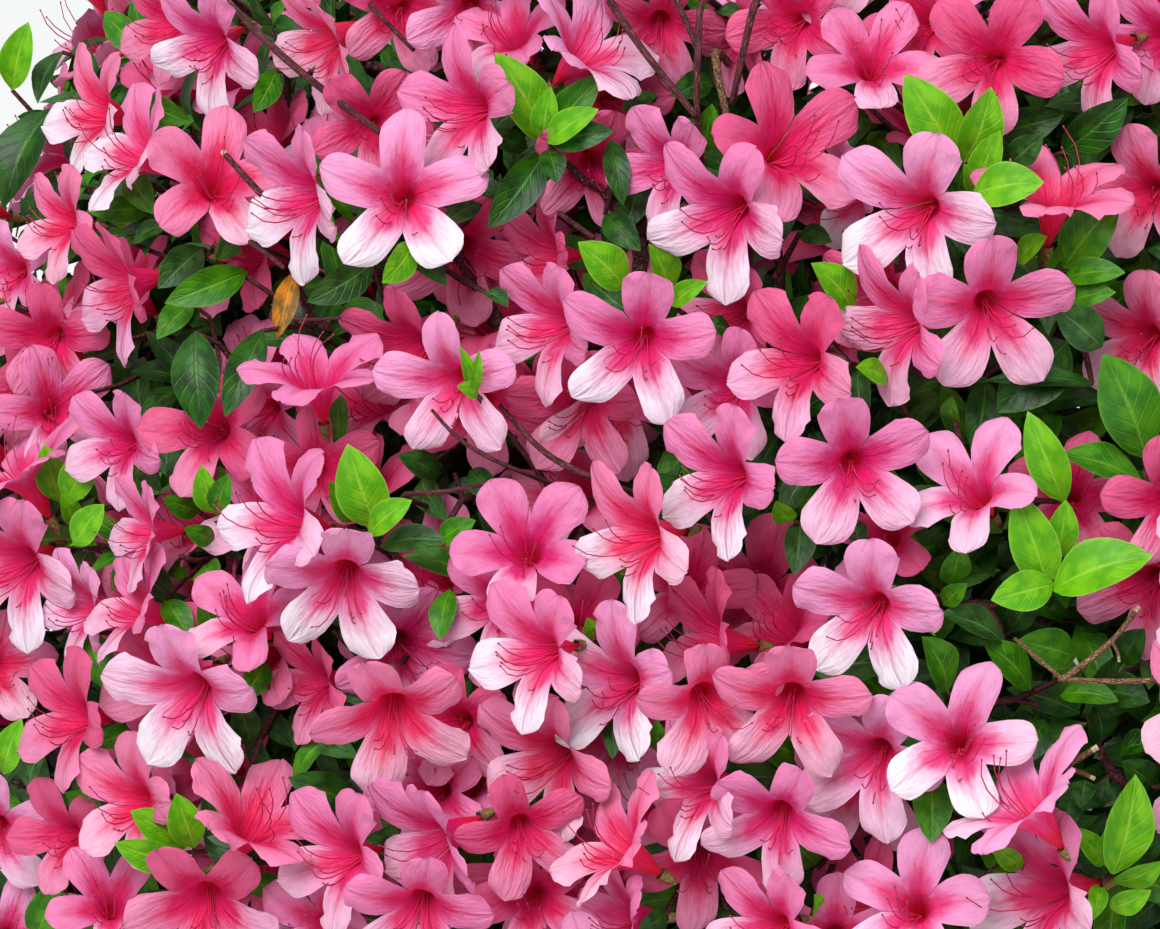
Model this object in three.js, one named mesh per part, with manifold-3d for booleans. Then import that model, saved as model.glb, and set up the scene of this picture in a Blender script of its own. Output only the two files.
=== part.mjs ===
// A Kurume azalea in full bloom, a low garden shrub rooted in the ground.
// Millimetres, +Z up. The origin is the centre of the flat cut under the trunk, at ground level.
// The front of the shrub looks along -Y.
import * as THREE from 'three';
import { mergeVertices } from 'three/addons/utils/BufferGeometryUtils.js';
import Module from 'manifold-3d';

const wasm = await Module();
wasm.setup();

// Driving dimensions of the whole shrub
const SHRUB_HEIGHT = 600; // ground to the top of the crown
const CROWN_REACH = 375; // trunk axis to the outermost foliage at the skirt
const SKIRT_CLEARANCE = 68; // ground to the lowest foliage
const CORE_HEIGHT = 165; // the point that the whole crown faces away from
const FOLIAGE_DEPTH = 150; // thickness of the leafy shell, the inside is bare wood
const CROWN_SQUASH = 0.96; // depth of the crown over its width

// Driving dimensions of the trunk
const TRUNK_HEIGHT = 96; // ground to the fork
const TRUNK_RADIUS = 29; // above the root flare
const TRUNK_TAPER = 0.16; // share of the radius lost by the fork
const FLARE_RADIUS = 47; // at the ground, between the root buttresses
const FLARE_HEIGHT = 24; // height in which the flare dies away
const BUTTRESS_COUNT = 5;
const BUTTRESS_DEPTH = 8;
const TRUNK_LEAN = [0.1, 0.05]; // sideways drift per unit of height, along X and Y
const TRUNK_SIDES = 25;
const TRUNK_RINGS = 8;
const TRUNK_SHOULDER = 0.72; // top ring's radius over the trunk's, where the fork rounds off

// Driving dimensions of the limbs
const STEM_RADIUS = [15.5, 9.5]; // foot and tip of the stout stems above the fork
const STEM_SIDES = 8;
const STEM_RINGS = 8;
const BOUGH_RADIUS = [8, 5]; // foot and tip of the boughs that carry the foliage
const BOUGH_SIDES = 7;
const BOUGH_RINGS = 5;
const LIMB_UNEVENNESS = 0.06; // swelling of a limb's radius
const SINK = 26; // how far a limb starts inside the one that carries it

// Clearances between solids
const GAP = 0.5;

// Each stem: compass angle, how far out and how high its tip stands
const STEMS = [
  { angle: -118, out: 112, height: 236 },
  { angle: -48, out: 120, height: 222 },
  { angle: 22, out: 108, height: 244 },
  { angle: 92, out: 118, height: 226 },
  { angle: 166, out: 114, height: 238 },
];

// Each tier of foliage masses: how many, the slope it faces along, its half sizes, first angle.
// share is where on a stem its boughs leave, from foot to tip.
const TIERS = [
  {
    name: 'skirt',
    count: 7,
    slope: 0,
    halfWidth: 186,
    halfUp: 150,
    halfDown: CORE_HEIGHT - SKIRT_CLEARANCE,
    first: -96,
    share: 0.52,
  },
  {
    name: 'shoulder',
    count: 6,
    slope: 39,
    halfWidth: 184,
    halfUp: 142,
    halfDown: 146,
    first: -124,
    share: 0.8,
  },
  {
    name: 'top',
    count: 4,
    slope: 73,
    halfWidth: 136,
    halfUp: 128,
    halfDown: 132,
    first: -70,
    share: 0.97,
  },
];
const ANGLE_SCATTER = 7; // degrees either way
const SLOPE_SCATTER = 3; // degrees either way
const SIZE_SCATTER = 0.06;
const MASS_UNEVENNESS = 0.085;
const MASS_DETAIL = 3; // subdivision of the round blank of a mass

const BARK = { color: 0x6b5145, roughness: 0.88, metalness: 0 };
const BOUGH_BARK = { color: 0x5c3f38, roughness: 0.82, metalness: 0 };
const BLOSSOM = [0xe8719c, 0xe4628f, 0xee86ab, 0xd95585, 0xeb7ba3];

// Repeatable random numbers from 0 to 1
function seeded(seed) {
  let state = seed >>> 0;
  return () => {
    state = (state + 0x6d2b79f5) >>> 0;
    let mixed = Math.imul(state ^ (state >>> 15), state | 1);
    mixed ^= mixed + Math.imul(mixed ^ (mixed >>> 7), mixed | 61);
    return ((mixed ^ (mixed >>> 14)) >>> 0) / 4294967296;
  };
}

// Smooth unevenness over directions, between about -1 and 1
function unevenSurface(seed, waves = 6, frequency = 4.2) {
  const random = seeded(seed);
  const terms = [];
  for (let i = 0; i < waves; i += 1) {
    const axis = new THREE.Vector3(random() - 0.5, random() - 0.5, random() - 0.5).normalize();
    terms.push({ axis, pace: frequency * (0.6 + random()), phase: random() * Math.PI * 2 });
  }
  return (direction) => {
    let sum = 0;
    for (const { axis, pace, phase } of terms) {
      sum += Math.sin(direction.dot(axis) * pace + phase);
    }
    return sum / Math.sqrt(waves);
  };
}

// A closed geometry with shared vertices made into a solid
function toSolid(geometry) {
  const bare = geometry.clone();
  bare.deleteAttribute('normal');
  bare.deleteAttribute('uv');
  const merged = mergeVertices(bare, 1e-3);
  const vertProperties = new Float32Array(merged.getAttribute('position').array);
  const triVerts = new Uint32Array(merged.getIndex().array);
  return new wasm.Manifold(new wasm.Mesh({ numProp: 3, vertProperties, triVerts }));
}

// A solid made back into a drawable mesh
function toMesh(name, solid, finish) {
  const shape = solid.getMesh();
  const geometry = new THREE.BufferGeometry();
  geometry.setAttribute('position', new THREE.BufferAttribute(shape.vertProperties, shape.numProp));
  geometry.setIndex(new THREE.BufferAttribute(shape.triVerts, 1));
  geometry.computeVertexNormals();
  const mesh = new THREE.Mesh(geometry, new THREE.MeshStandardMaterial(finish));
  mesh.name = name;
  return mesh;
}

// The biggest body of a solid, without the crumbs that a cut leaves
function mainBody(solid) {
  const bodies = solid.decompose();
  bodies.sort((a, b) => b.volume() - a.volume());
  return bodies[0];
}

function compass(degrees) {
  const turn = THREE.MathUtils.degToRad(degrees);
  return new THREE.Vector3(Math.cos(turn), Math.sin(turn), 0);
}

// Trunk with root flare and buttresses, flat underneath, leaning to its fork
function trunkSolid(grow) {
  const blank = new THREE.CylinderGeometry(1, 1, 1, TRUNK_SIDES, TRUNK_RINGS);
  const place = blank.getAttribute('position');
  const point = new THREE.Vector3();
  for (let i = 0; i < place.count; i += 1) {
    point.fromBufferAttribute(place, i);
    const share = point.y + 0.5;
    const height = TRUNK_HEIGHT * share ** 1.25;
    const angle = Math.atan2(-point.z, point.x);
    const fade = Math.exp(-height / FLARE_HEIGHT);
    const shoulder = share > 0.95 ? TRUNK_SHOULDER : 1;
    const stout = TRUNK_RADIUS * (1 - TRUNK_TAPER * share) * shoulder;
    const flare = (FLARE_RADIUS - TRUNK_RADIUS) * fade;
    const buttress = BUTTRESS_DEPTH * fade * Math.sin(BUTTRESS_COUNT * angle + 0.8);
    const radius = stout + flare + buttress + 1.2 * Math.sin(3 * angle + height / 20) + grow;
    const reach = radius * Math.hypot(point.x, point.z);
    place.setXYZ(
      i,
      TRUNK_LEAN[0] * height + reach * Math.cos(angle),
      TRUNK_LEAN[1] * height + reach * Math.sin(angle),
      height + (share > 0.99 ? grow : 0),
    );
  }
  return toSolid(blank);
}

// Where the stems spring from, inside the top of the trunk
function forkPoint(inside) {
  const height = TRUNK_HEIGHT - inside;
  return new THREE.Vector3(TRUNK_LEAN[0] * height, TRUNK_LEAN[1] * height, height);
}

// One tapering limb along a curve
function limbSolid(curve, [footRadius, tipRadius], sides, rings, seed, grow) {
  const blank = new THREE.CylinderGeometry(1, 1, 1, sides, rings);
  const place = blank.getAttribute('position');
  const { tangents, normals, binormals } = curve.computeFrenetFrames(rings, false);
  const swell = unevenSurface(seed, 4, 5);
  const point = new THREE.Vector3();
  const centre = new THREE.Vector3();
  for (let i = 0; i < place.count; i += 1) {
    point.fromBufferAttribute(place, i);
    const ring = Math.round((point.y + 0.5) * rings);
    const share = ring / rings;
    curve.getPointAt(share, centre);
    const round = footRadius + (tipRadius - footRadius) * share ** 0.8;
    const uneven = 1 + LIMB_UNEVENNESS * swell(new THREE.Vector3(point.x, share * 3, point.z));
    const radius = round * uneven + grow;
    centre.addScaledVector(binormals[ring], point.x * radius);
    centre.addScaledVector(normals[ring], point.z * radius);
    const end = ring === 0 ? -grow : Number(ring === rings) * grow;
    centre.addScaledVector(tangents[ring], end);
    place.setXYZ(i, centre.x, centre.y, centre.z);
  }
  return toSolid(blank);
}

// The curve of a stout stem, out of the fork and then upward
function stemCurve({ angle, out, height }) {
  const foot = forkPoint(SINK);
  const outward = compass(angle);
  const tip = foot.clone().addScaledVector(outward, out).setZ(height);
  const low = foot.clone().addScaledVector(outward, out * 0.42).setZ(foot.z + (height - foot.z) * 0.3);
  const high = tip.clone().addScaledVector(outward, -out * 0.18).setZ(height - (height - foot.z) * 0.34);
  return new THREE.CubicBezierCurve3(foot, low, high, tip);
}

// How far the crown reaches from its core along a slope
function crownReach(slope) {
  const rise = Math.sin(slope) * (SHRUB_HEIGHT - CORE_HEIGHT);
  const run = Math.cos(slope) * CROWN_REACH;
  return Math.hypot(rise, run);
}

// Place, facing and sizes of every mass of foliage
function layOutMasses() {
  const masses = [];
  TIERS.forEach((tier, tierIndex) => {
    const random = seeded(41 + tierIndex * 17);
    const scatter = () => random() * 2 - 1;
    for (let i = 0; i < tier.count; i += 1) {
      const angle = tier.first + (360 / tier.count) * i + ANGLE_SCATTER * scatter();
      const slope = THREE.MathUtils.degToRad(tier.slope + SLOPE_SCATTER * scatter());
      const size = 1 + SIZE_SCATTER * scatter();
      const flat = compass(angle);
      const facing = flat.clone().multiplyScalar(Math.cos(slope)).setZ(Math.sin(slope));
      const distance = crownReach(slope) * (1 + 0.02 * scatter()) - FOLIAGE_DEPTH / 2;
      const centre = facing.clone().multiplyScalar(distance);
      centre.y *= CROWN_SQUASH;
      centre.z += CORE_HEIGHT;
      const side = new THREE.Vector3(-flat.y, flat.x, 0);
      const up = new THREE.Vector3().crossVectors(facing, side);
      masses.push({
        name: `foliage_${tier.name}_${i + 1}`,
        tier,
        angle,
        centre,
        facing,
        side,
        up,
        size,
        halfWidth: tier.halfWidth * size,
        seed: 300 + tierIndex * 40 + i * 3,
      });
    }
  });
  return masses;
}

// The uneven round blank of a mass, before its neighbours cut it
function massBlank(mass, grow) {
  const blank = toSolid(new THREE.IcosahedronGeometry(1, MASS_DETAIL)).getMesh();
  const uneven = unevenSurface(mass.seed);
  const direction = new THREE.Vector3();
  const point = new THREE.Vector3();
  const corners = new Float32Array(blank.vertProperties.length);
  for (let i = 0; i < corners.length; i += 3) {
    direction.fromArray(blank.vertProperties, i).normalize();
    const swell = 1 + MASS_UNEVENNESS * uneven(direction);
    const halfHeight = (direction.z > 0 ? mass.tier.halfUp : mass.tier.halfDown) * mass.size;
    point.copy(mass.centre);
    point.addScaledVector(mass.facing, direction.x * ((FOLIAGE_DEPTH / 2) * swell + grow));
    point.addScaledVector(mass.side, direction.y * (mass.halfWidth * swell + grow));
    point.addScaledVector(mass.up, direction.z * (halfHeight * swell + grow));
    point.toArray(corners, i);
  }
  return new wasm.Manifold(new wasm.Mesh({
    numProp: 3, vertProperties: corners, triVerts: blank.triVerts,
  }));
}

// A block that fills the far side of the face between two masses
function farSide(mass, other) {
  const across = other.centre.clone().sub(mass.centre);
  const size = 1200;
  const share = mass.halfWidth / (mass.halfWidth + other.halfWidth);
  const direction = across.clone().normalize();
  const face = mass.centre.clone().addScaledVector(across, share).addScaledVector(direction, -GAP);
  const block = new THREE.BoxGeometry(size, size, size);
  block.applyQuaternion(new THREE.Quaternion().setFromUnitVectors(new THREE.Vector3(1, 0, 0), direction));
  const middle = face.addScaledVector(direction, size / 2);
  block.translate(middle.x, middle.y, middle.z);
  return toSolid(block);
}

// A mass of foliage, cut back to the faces that it shares with its neighbours
function massSolid(mass, masses, grow) {
  let solid = massBlank(mass, grow);
  for (const other of masses) {
    const near = mass.centre.distanceTo(other.centre) < mass.halfWidth + other.halfWidth;
    if (other !== mass && near) {
      solid = solid.subtract(farSide(mass, other));
    }
  }
  return mainBody(solid);
}

// The stem whose tip stands nearest to a mass, for top masses by turn
function carrierOf(mass, stems) {
  let best = stems[0];
  for (const stem of stems) {
    if (compass(stem.angle).angleTo(compass(mass.angle)) < compass(best.angle).angleTo(compass(mass.angle))) {
      best = stem;
    }
  }
  return best;
}

// The curve of a bough, from inside its stem to the heart of its mass
function boughCurve(mass, stem) {
  const foot = stem.curve.getPointAt(mass.tier.share);
  const along = stem.curve.getTangentAt(mass.tier.share);
  const heart = mass.centre.clone();
  const length = foot.distanceTo(heart);
  const early = foot.clone().addScaledVector(along, length * 0.22);
  const inward = mass.facing.clone().multiplyScalar(0.8).add(new THREE.Vector3(0, 0, 0.35)).normalize();
  const late = heart.clone().addScaledVector(inward, -length * 0.36);
  return new THREE.CubicBezierCurve3(foot, early, late, heart);
}

function buildShrub() {
  const shrub = new THREE.Group();
  shrub.add(toMesh('trunk', trunkSolid(0), BARK));
  const masses = layOutMasses();
  const stems = STEMS.map((stem, index) => ({ ...stem, index, curve: stemCurve(stem) }));

  let taken = trunkSolid(GAP);
  for (const stem of stems) {
    const shape = (grow) => limbSolid(stem.curve, STEM_RADIUS, STEM_SIDES, STEM_RINGS, 70 + stem.index, grow);
    shrub.add(toMesh(`stem_${stem.index + 1}`, mainBody(shape(0).subtract(taken)), BARK));
    taken = taken.add(shape(GAP));
  }

  for (const mass of masses) {
    taken = taken.add(massSolid(mass, masses, GAP));
  }
  for (const mass of masses) {
    const curve = boughCurve(mass, carrierOf(mass, stems));
    const shape = (grow) => limbSolid(curve, BOUGH_RADIUS, BOUGH_SIDES, BOUGH_RINGS, mass.seed + 1, grow);
    const name = mass.name.replace('foliage', 'bough');
    shrub.add(toMesh(name, mainBody(shape(0).subtract(taken)), BOUGH_BARK));
    taken = taken.add(shape(GAP));
  }

  masses.forEach((mass, index) => {
    const finish = { color: BLOSSOM[index % BLOSSOM.length], roughness: 0.7, metalness: 0 };
    shrub.add(toMesh(mass.name, massSolid(mass, masses, 0), finish));
  });
  return shrub;
}

export default buildShrub();
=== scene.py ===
import logging
import math
from dataclasses import dataclass, fields
from enum import Enum
from functools import cache

import bpy
import numpy as np
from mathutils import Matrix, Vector
from mathutils.bvhtree import BVHTree
from mathutils.kdtree import KDTree


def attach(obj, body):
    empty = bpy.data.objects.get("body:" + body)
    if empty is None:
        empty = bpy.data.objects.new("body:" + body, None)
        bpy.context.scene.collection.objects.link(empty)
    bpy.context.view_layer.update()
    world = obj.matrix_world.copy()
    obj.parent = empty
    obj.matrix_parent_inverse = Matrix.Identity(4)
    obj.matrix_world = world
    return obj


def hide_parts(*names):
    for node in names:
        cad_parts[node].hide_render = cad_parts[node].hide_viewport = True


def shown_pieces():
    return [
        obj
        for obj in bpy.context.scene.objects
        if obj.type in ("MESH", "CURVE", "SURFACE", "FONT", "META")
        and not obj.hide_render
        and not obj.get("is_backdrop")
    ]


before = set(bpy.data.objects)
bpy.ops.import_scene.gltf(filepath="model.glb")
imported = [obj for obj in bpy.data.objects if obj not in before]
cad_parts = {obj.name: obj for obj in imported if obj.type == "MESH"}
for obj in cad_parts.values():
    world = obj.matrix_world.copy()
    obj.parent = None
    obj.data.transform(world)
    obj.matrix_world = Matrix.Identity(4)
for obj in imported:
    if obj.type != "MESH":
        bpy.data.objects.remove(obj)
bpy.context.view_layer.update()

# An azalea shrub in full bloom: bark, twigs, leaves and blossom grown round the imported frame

log = logging.getLogger("azalea")

PICTURE = (1160, 929)  # pixels of the photograph
CORE = np.array([0.0, 0.0, 0.165])  # the point that the crown faces away from
MAP_NAME = "OFBake"
MAP_COLUMNS = 3  # columns of the petals' map: an upper, a side and a lower lobe
LIGHT_BOUNCES = 2
SEED = 20240
GOLDEN_TURN = math.radians(137.5)
WORLD_UP = np.array([0.0, 0.0, 1.0])


# Small vector helpers


def unit(v: np.ndarray) -> np.ndarray:
    """The vectors at length one."""
    return v / np.maximum(np.linalg.norm(v, axis=-1, keepdims=True), 1e-12)


def direction(turn: float, slope: float) -> np.ndarray:
    """The unit vector at a compass turn and a slope above level, both in degrees."""
    t, s = math.radians(turn), math.radians(slope)
    return np.array([math.cos(s) * math.cos(t), math.cos(s) * math.sin(t), math.sin(s)])


def smooth(x: np.ndarray | float, low: float, high: float) -> np.ndarray | float:
    """Eases from 0 at low to 1 at high."""
    t = np.clip((x - low) / (high - low), 0.0, 1.0)
    return t * t * (3 - 2 * t)


def frames(along: np.ndarray, over: np.ndarray) -> np.ndarray:
    """Turns with Y along one direction and Z as near as may be to another.

    Args:
        along: (n, 3) directions for local Y.
        over: (n, 3) directions that local Z leans to.

    Returns:
        (n, 3, 3) matrices whose columns are the local axes.
    """
    y = unit(along)
    x = unit(np.cross(y, over))
    return np.stack([x, y, np.cross(x, y)], axis=-1)


def facing_frames(out: np.ndarray, start: np.ndarray) -> np.ndarray:
    """Turns with Z along one direction and X as near as may be to another."""
    z = unit(out)
    y = unit(np.cross(z, start))
    return np.stack([np.cross(y, z), y, z], axis=-1)


def spin(axis: np.ndarray, v: np.ndarray, angle: np.ndarray) -> np.ndarray:
    """Vectors turned about unit axes by angles in radians."""
    c, s = np.cos(angle)[..., None], np.sin(angle)[..., None]
    dot = (axis * v).sum(-1, keepdims=True)
    return v * c + np.cross(axis, v) * s + axis * dot * (1 - c)


# Shapes held as arrays, copied many times and joined


@dataclass
class Pattern:
    """A small shape: its points, the corners of its faces and their map places."""

    points: np.ndarray
    corners: np.ndarray
    sides: np.ndarray
    spots: np.ndarray

    def tree(self) -> BVHTree:
        """The faces, all of four corners, ready for tests."""
        return BVHTree.FromPolygons(self.points.tolist(), self.corners.reshape(-1, 4).tolist())


def grid_pattern(points: np.ndarray, spots: np.ndarray) -> Pattern:
    """Quads over a grid of points.

    Args:
        points: (rows, columns, 3) places.
        spots: (rows, columns, 2) map places.

    Returns:
        The grid as a pattern.
    """
    rows, columns = points.shape[:2]
    first = (np.arange(rows - 1)[:, None] * columns + np.arange(columns - 1)).ravel()
    quads = np.stack([first, first + 1, first + columns + 1, first + columns], axis=1)
    flat = spots.reshape(-1, 2)
    return Pattern(points.reshape(-1, 3), quads.ravel(), np.full(len(quads), 4), flat[quads.ravel()])


def joined(patterns: list[Pattern]) -> Pattern:
    """Several patterns as one."""
    starts = np.cumsum([0] + [len(p.points) for p in patterns[:-1]])
    return Pattern(
        np.concatenate([p.points for p in patterns]),
        np.concatenate([p.corners + s for p, s in zip(patterns, starts, strict=True)]),
        np.concatenate([p.sides for p in patterns]),
        np.concatenate([p.spots for p in patterns]),
    )


def tube_pattern(path: np.ndarray, radii: np.ndarray, sides: int, closed_tip: bool = True) -> Pattern:
    """A tapering tube along a path.

    Args:
        path: (k, 3) places along the middle.
        radii: (k,) radius at each place.
        sides: How many sides the tube has.
        closed_tip: Whether the last ring ends in a face.

    Returns:
        The tube as a pattern, its map running round and along.
    """
    ahead = unit(np.gradient(path, axis=0))
    side = np.cross(ahead[0], WORLD_UP + [0.31, 0.17, 0.0])
    rings = []
    for place, course, radius in zip(path, ahead, radii, strict=True):
        side = unit(side - course * np.dot(side, course))
        over = np.cross(course, side)
        angles = np.arange(sides) * (math.tau / sides)
        rings.append(place + radius * (np.cos(angles)[:, None] * side + np.sin(angles)[:, None] * over))
    points = np.concatenate(rings)
    k = np.arange(len(path) - 1)[:, None] * sides
    a = np.arange(sides)
    b = (a + 1) % sides
    quads = np.stack([k + a, k + b, k + sides + b, k + sides + a], axis=-1).reshape(-1, 4)
    low = np.arange(len(path) - 1)[:, None] / (len(path) - 1)
    high = low + 1 / (len(path) - 1)
    left, right = a / sides, (a + 1) / sides
    u = np.stack([left, right, right, left], axis=-1)[None].repeat(len(path) - 1, axis=0)
    v = np.stack([low, low, high, high], axis=-1).repeat(sides, axis=1)
    corners, counts = quads.ravel(), np.full(len(quads), 4)
    spots = np.stack([u, v], axis=-1).reshape(-1, 2)
    if closed_tip:
        corners = np.concatenate([corners, (len(path) - 1) * sides + a])
        counts = np.append(counts, sides)
        spots = np.concatenate([spots, np.full((sides, 2), 0.995)])
    return Pattern(points, corners, counts, spots)


class Heap:
    """Copies of patterns, gathered to become one joined piece."""

    def __init__(self) -> None:
        """Starts empty."""
        self.patterns: list[Pattern] = []

    def add(self, pattern: Pattern) -> None:
        """Takes in a pattern where it is."""
        self.patterns.append(pattern)

    def scatter(self, pattern: Pattern, turns: np.ndarray, places: np.ndarray,
                shift: np.ndarray | None = None) -> None:
        """Takes in turned and moved copies of a pattern.

        Args:
            pattern: What is copied.
            turns: (n, 3, 3) matrices that turn and scale each copy.
            places: (n, 3) place of each copy.
            shift: (n, 2) how far each copy's map moves, or None.
        """
        n, k = len(places), len(pattern.points)
        if not n:
            return
        points = np.einsum("nij,kj->nki", turns, pattern.points) + places[:, None]
        corners = pattern.corners[None] + np.arange(n)[:, None] * k
        spots = np.repeat(pattern.spots[None], n, axis=0)
        if shift is not None:
            spots = spots + shift[:, None]
        sides = np.tile(pattern.sides, n)
        self.add(Pattern(points.reshape(-1, 3), corners.ravel(), sides, spots.reshape(-1, 2)))

    def tree(self) -> BVHTree:
        """All its faces, ready for tests."""
        return joined(self.patterns).tree()

    def piece(self, name: str, material: bpy.types.Material, slot: str,
              merge: bool = True) -> bpy.types.Object:
        """Makes the joined piece.

        Args:
            name: The piece's name.
            material: Its finish.
            slot: Not used.
            merge: Whether points in one place become one.

        Returns:
            The piece, riding on the frame.
        """
        whole = joined(self.patterns)
        mesh = bpy.data.meshes.new(name)
        mesh.vertices.add(len(whole.points))
        mesh.vertices.foreach_set("co", whole.points.astype(np.float32).ravel())
        mesh.loops.add(len(whole.corners))
        mesh.loops.foreach_set("vertex_index", whole.corners.astype(np.int32))
        mesh.polygons.add(len(whole.sides))
        starts = np.cumsum(whole.sides) - whole.sides
        mesh.polygons.foreach_set("loop_start", starts.astype(np.int32))
        mesh.polygons.foreach_set("loop_total", whole.sides.astype(np.int32))
        mesh.polygons.foreach_set("use_smooth", np.ones(len(whole.sides), bool))
        layer = mesh.uv_layers.new(name=MAP_NAME)
        mesh.update(calc_edges=True)
        mesh.validate()
        layer.data.foreach_set("uv", whole.spots.astype(np.float32).ravel())
        mesh.materials.append(material)
        thing = placed(name, mesh)
        if merge:
            merge_doubles(thing)
        return settle(thing)


SAME_PLACE = 2e-5  # metres within which two points of a piece become one


def placed(name: str, data: bpy.types.ID) -> bpy.types.Object:
    """A new object in the scene."""
    thing = bpy.data.objects.new(name, data)
    bpy.context.scene.collection.objects.link(thing)
    return thing


def mesh_points(mesh: bpy.types.Mesh) -> np.ndarray:
    """(n, 3) places of a mesh's points."""
    co = np.empty(len(mesh.vertices) * 3)
    mesh.vertices.foreach_get("co", co)
    return co.reshape(-1, 3)


def select_only(thing: bpy.types.Object) -> None:
    """Leaves one object selected and active."""
    bpy.ops.object.select_all(action="DESELECT")
    thing.select_set(True)
    bpy.context.view_layer.objects.active = thing


def merge_doubles(thing: bpy.types.Object, distance: float = SAME_PLACE) -> None:
    """Makes points that lie in one place one point."""
    select_only(thing)
    bpy.ops.object.mode_set(mode="EDIT")
    bpy.ops.mesh.select_all(action="SELECT")
    bpy.ops.mesh.remove_doubles(threshold=distance)
    bpy.ops.object.mode_set(mode="OBJECT")


def settle(thing: bpy.types.Object) -> bpy.types.Object:
    """Rides a piece on the plant's body and reports it."""
    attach(thing, "root")
    triangles = sum(len(p.vertices) - 2 for p in thing.data.polygons)
    log.info("%s: %d triangles", thing.name, triangles)
    return thing


# Finishes, with patterns that are shader groups, each built once


MIX_SHARE, MIX_FIRST, MIX_SECOND, MIX_RESULT = 0, 6, 7, 2  # a Mix node's sockets for colours


class Board:
    """Lays out the nodes of a material or a group."""

    def __init__(self, tree: bpy.types.NodeTree) -> None:
        """Works on one tree."""
        self.tree = tree

    def node(self, kind: str, inputs: dict | None = None, **settings: object) -> bpy.types.Node:
        """Adds a node, sets it and links or fills its inputs.

        Args:
            kind: The node's type name.
            inputs: Input name or number to a socket or a value.
            **settings: Properties of the node.

        Returns:
            The node.
        """
        made = self.tree.nodes.new(kind)
        for key, value in settings.items():
            setattr(made, key, value)
        self.fill(made, inputs or {})
        return made

    def fill(self, made: bpy.types.Node, inputs: dict) -> None:
        """Links or sets inputs of a node."""
        for key, value in inputs.items():
            if isinstance(value, bpy.types.NodeSocket):
                self.tree.links.new(value, made.inputs[key])
            else:
                made.inputs[key].default_value = value

    def math(self, how: str, a: object, b: object = 0.0) -> bpy.types.NodeSocket:
        """One sum of two numbers."""
        return self.node("ShaderNodeMath", {0: a, 1: b}, operation=how).outputs[0]

    def less(self, value: object) -> bpy.types.NodeSocket:
        """One less a number."""
        return self.math("SUBTRACT", 1.0, value)

    def times(self, first: object, *others: object) -> bpy.types.NodeSocket:
        """Numbers multiplied."""
        for other in others:
            first = self.math("MULTIPLY", first, other)
        return first

    def stretched(self, place: bpy.types.NodeSocket, across: float, along: float) -> bpy.types.NodeSocket:
        """A place on a flat map, stretched so that noise over it is so fine across and along."""
        return self.node("ShaderNodeMapping", {0: place, "Scale": (across, along, 1.0)}).outputs[0]

    def flat_noise(self, place: bpy.types.NodeSocket, detail: float) -> bpy.types.NodeSocket:
        """Noise over a place on a flat map, which is quicker to work out than noise in space."""
        ins = {"Vector": place, "Scale": 1.0, "Detail": detail}
        return self.node("ShaderNodeTexNoise", ins, noise_dimensions="2D").outputs["Fac"]

    def ease(self, value: object, low: float, high: float, to: tuple = (0.0, 1.0)) -> bpy.types.NodeSocket:
        """A smooth step from one value to another."""
        ins = {"Value": value, "From Min": low, "From Max": high, "To Min": to[0], "To Max": to[1]}
        return self.node("ShaderNodeMapRange", ins, interpolation_type="SMOOTHSTEP").outputs["Result"]

    def mix(self, share: object, a: object, b: object, how: str = "MIX") -> bpy.types.NodeSocket:
        """Two colours mixed."""
        made = self.node("ShaderNodeMix", data_type="RGBA", blend_type=how)
        self.fill(made, {MIX_SHARE: share, MIX_FIRST: a, MIX_SECOND: b})
        return made.outputs[MIX_RESULT]


def colour(r: float, g: float, b: float) -> tuple[float, float, float, float]:
    """A screen colour, 0 to 255 each, as linear light with full alpha."""
    def linear(c: float) -> float:
        """One channel."""
        c /= 255
        return c / 12.92 if c <= 0.04045 else ((c + 0.055) / 1.055) ** 2.4
    return linear(r), linear(g), linear(b), 1.0


def new_group(name: str, ins: dict[str, str], outs: dict[str, str]) -> tuple[Board, object, object]:
    """An empty shader node group with named sockets.

    Args:
        name: The group's name.
        ins: Input names to socket types.
        outs: Output names to socket types.

    Returns:
        The board, the group's input node and its output node.
    """
    tree = bpy.data.node_groups.new(name, "ShaderNodeTree")
    for label, kind in ins.items():
        tree.interface.new_socket(name=label, in_out="INPUT", socket_type=kind)
    for label, kind in outs.items():
        tree.interface.new_socket(name=label, in_out="OUTPUT", socket_type=kind)
    board = Board(tree)
    return board, board.node("NodeGroupInput"), board.node("NodeGroupOutput")


VECTOR, NUMBER, TINT = "NodeSocketVector", "NodeSocketFloat", "NodeSocketColor"

# Along a lobe's map, 0 is the foot of the tube and 1 the tip, and across it 1 is the edge
TUBE_FADE = (0.34, 0.16)  # throat to the cherry tube
THROAT_FADE = (0.34, 0.56)  # throat to the middle pink
MARGIN_FADE = (0.44, 0.72)  # middle pink to the margin
TIP_FADE = (0.55, 0.87)  # to the bleached tip
EDGE_LEAD = 0.12  # how much sooner the edge fades than the middle line
MOTTLE_SHIFT = 0.16  # how far the mottling moves the fades
STREAK_ALONG = (0.36, 0.86)
STREAK_WIDTHS = (1.45, 0.26)  # of the crimson streak, over half a lobe, at the ends of that stretch
STREAK_FADE = (0.93, 0.52)
BLEACH_ALL = 0.14  # how far every lobe bleaches at its tip
SIDE_PALING_AND_LIGHT = 0.4  # what is added on a side lobe, partly its own paleness and partly painted light where it faces the sky
# Added on a lower lobe: partly its own paler colour, partly painted light where it faces the sky
LOWER_PALING_AND_LIGHT = 0.86
VEIN_TINT = 0.12  # how strongly the fine veins show
RIB_WIDTH = 0.09  # of the darker line down the middle
RIB_FADE = (0.95, 0.55)
RIB_TINT = 0.55
FLECKS_START = (0.46, 0.52)
FLECKS_END = (0.76, 0.6)
FLECKS_ASIDE = (0.6, 0.25)
FLECK_SIZE = (0.14, 0.3)  # over the space between flecks
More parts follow.
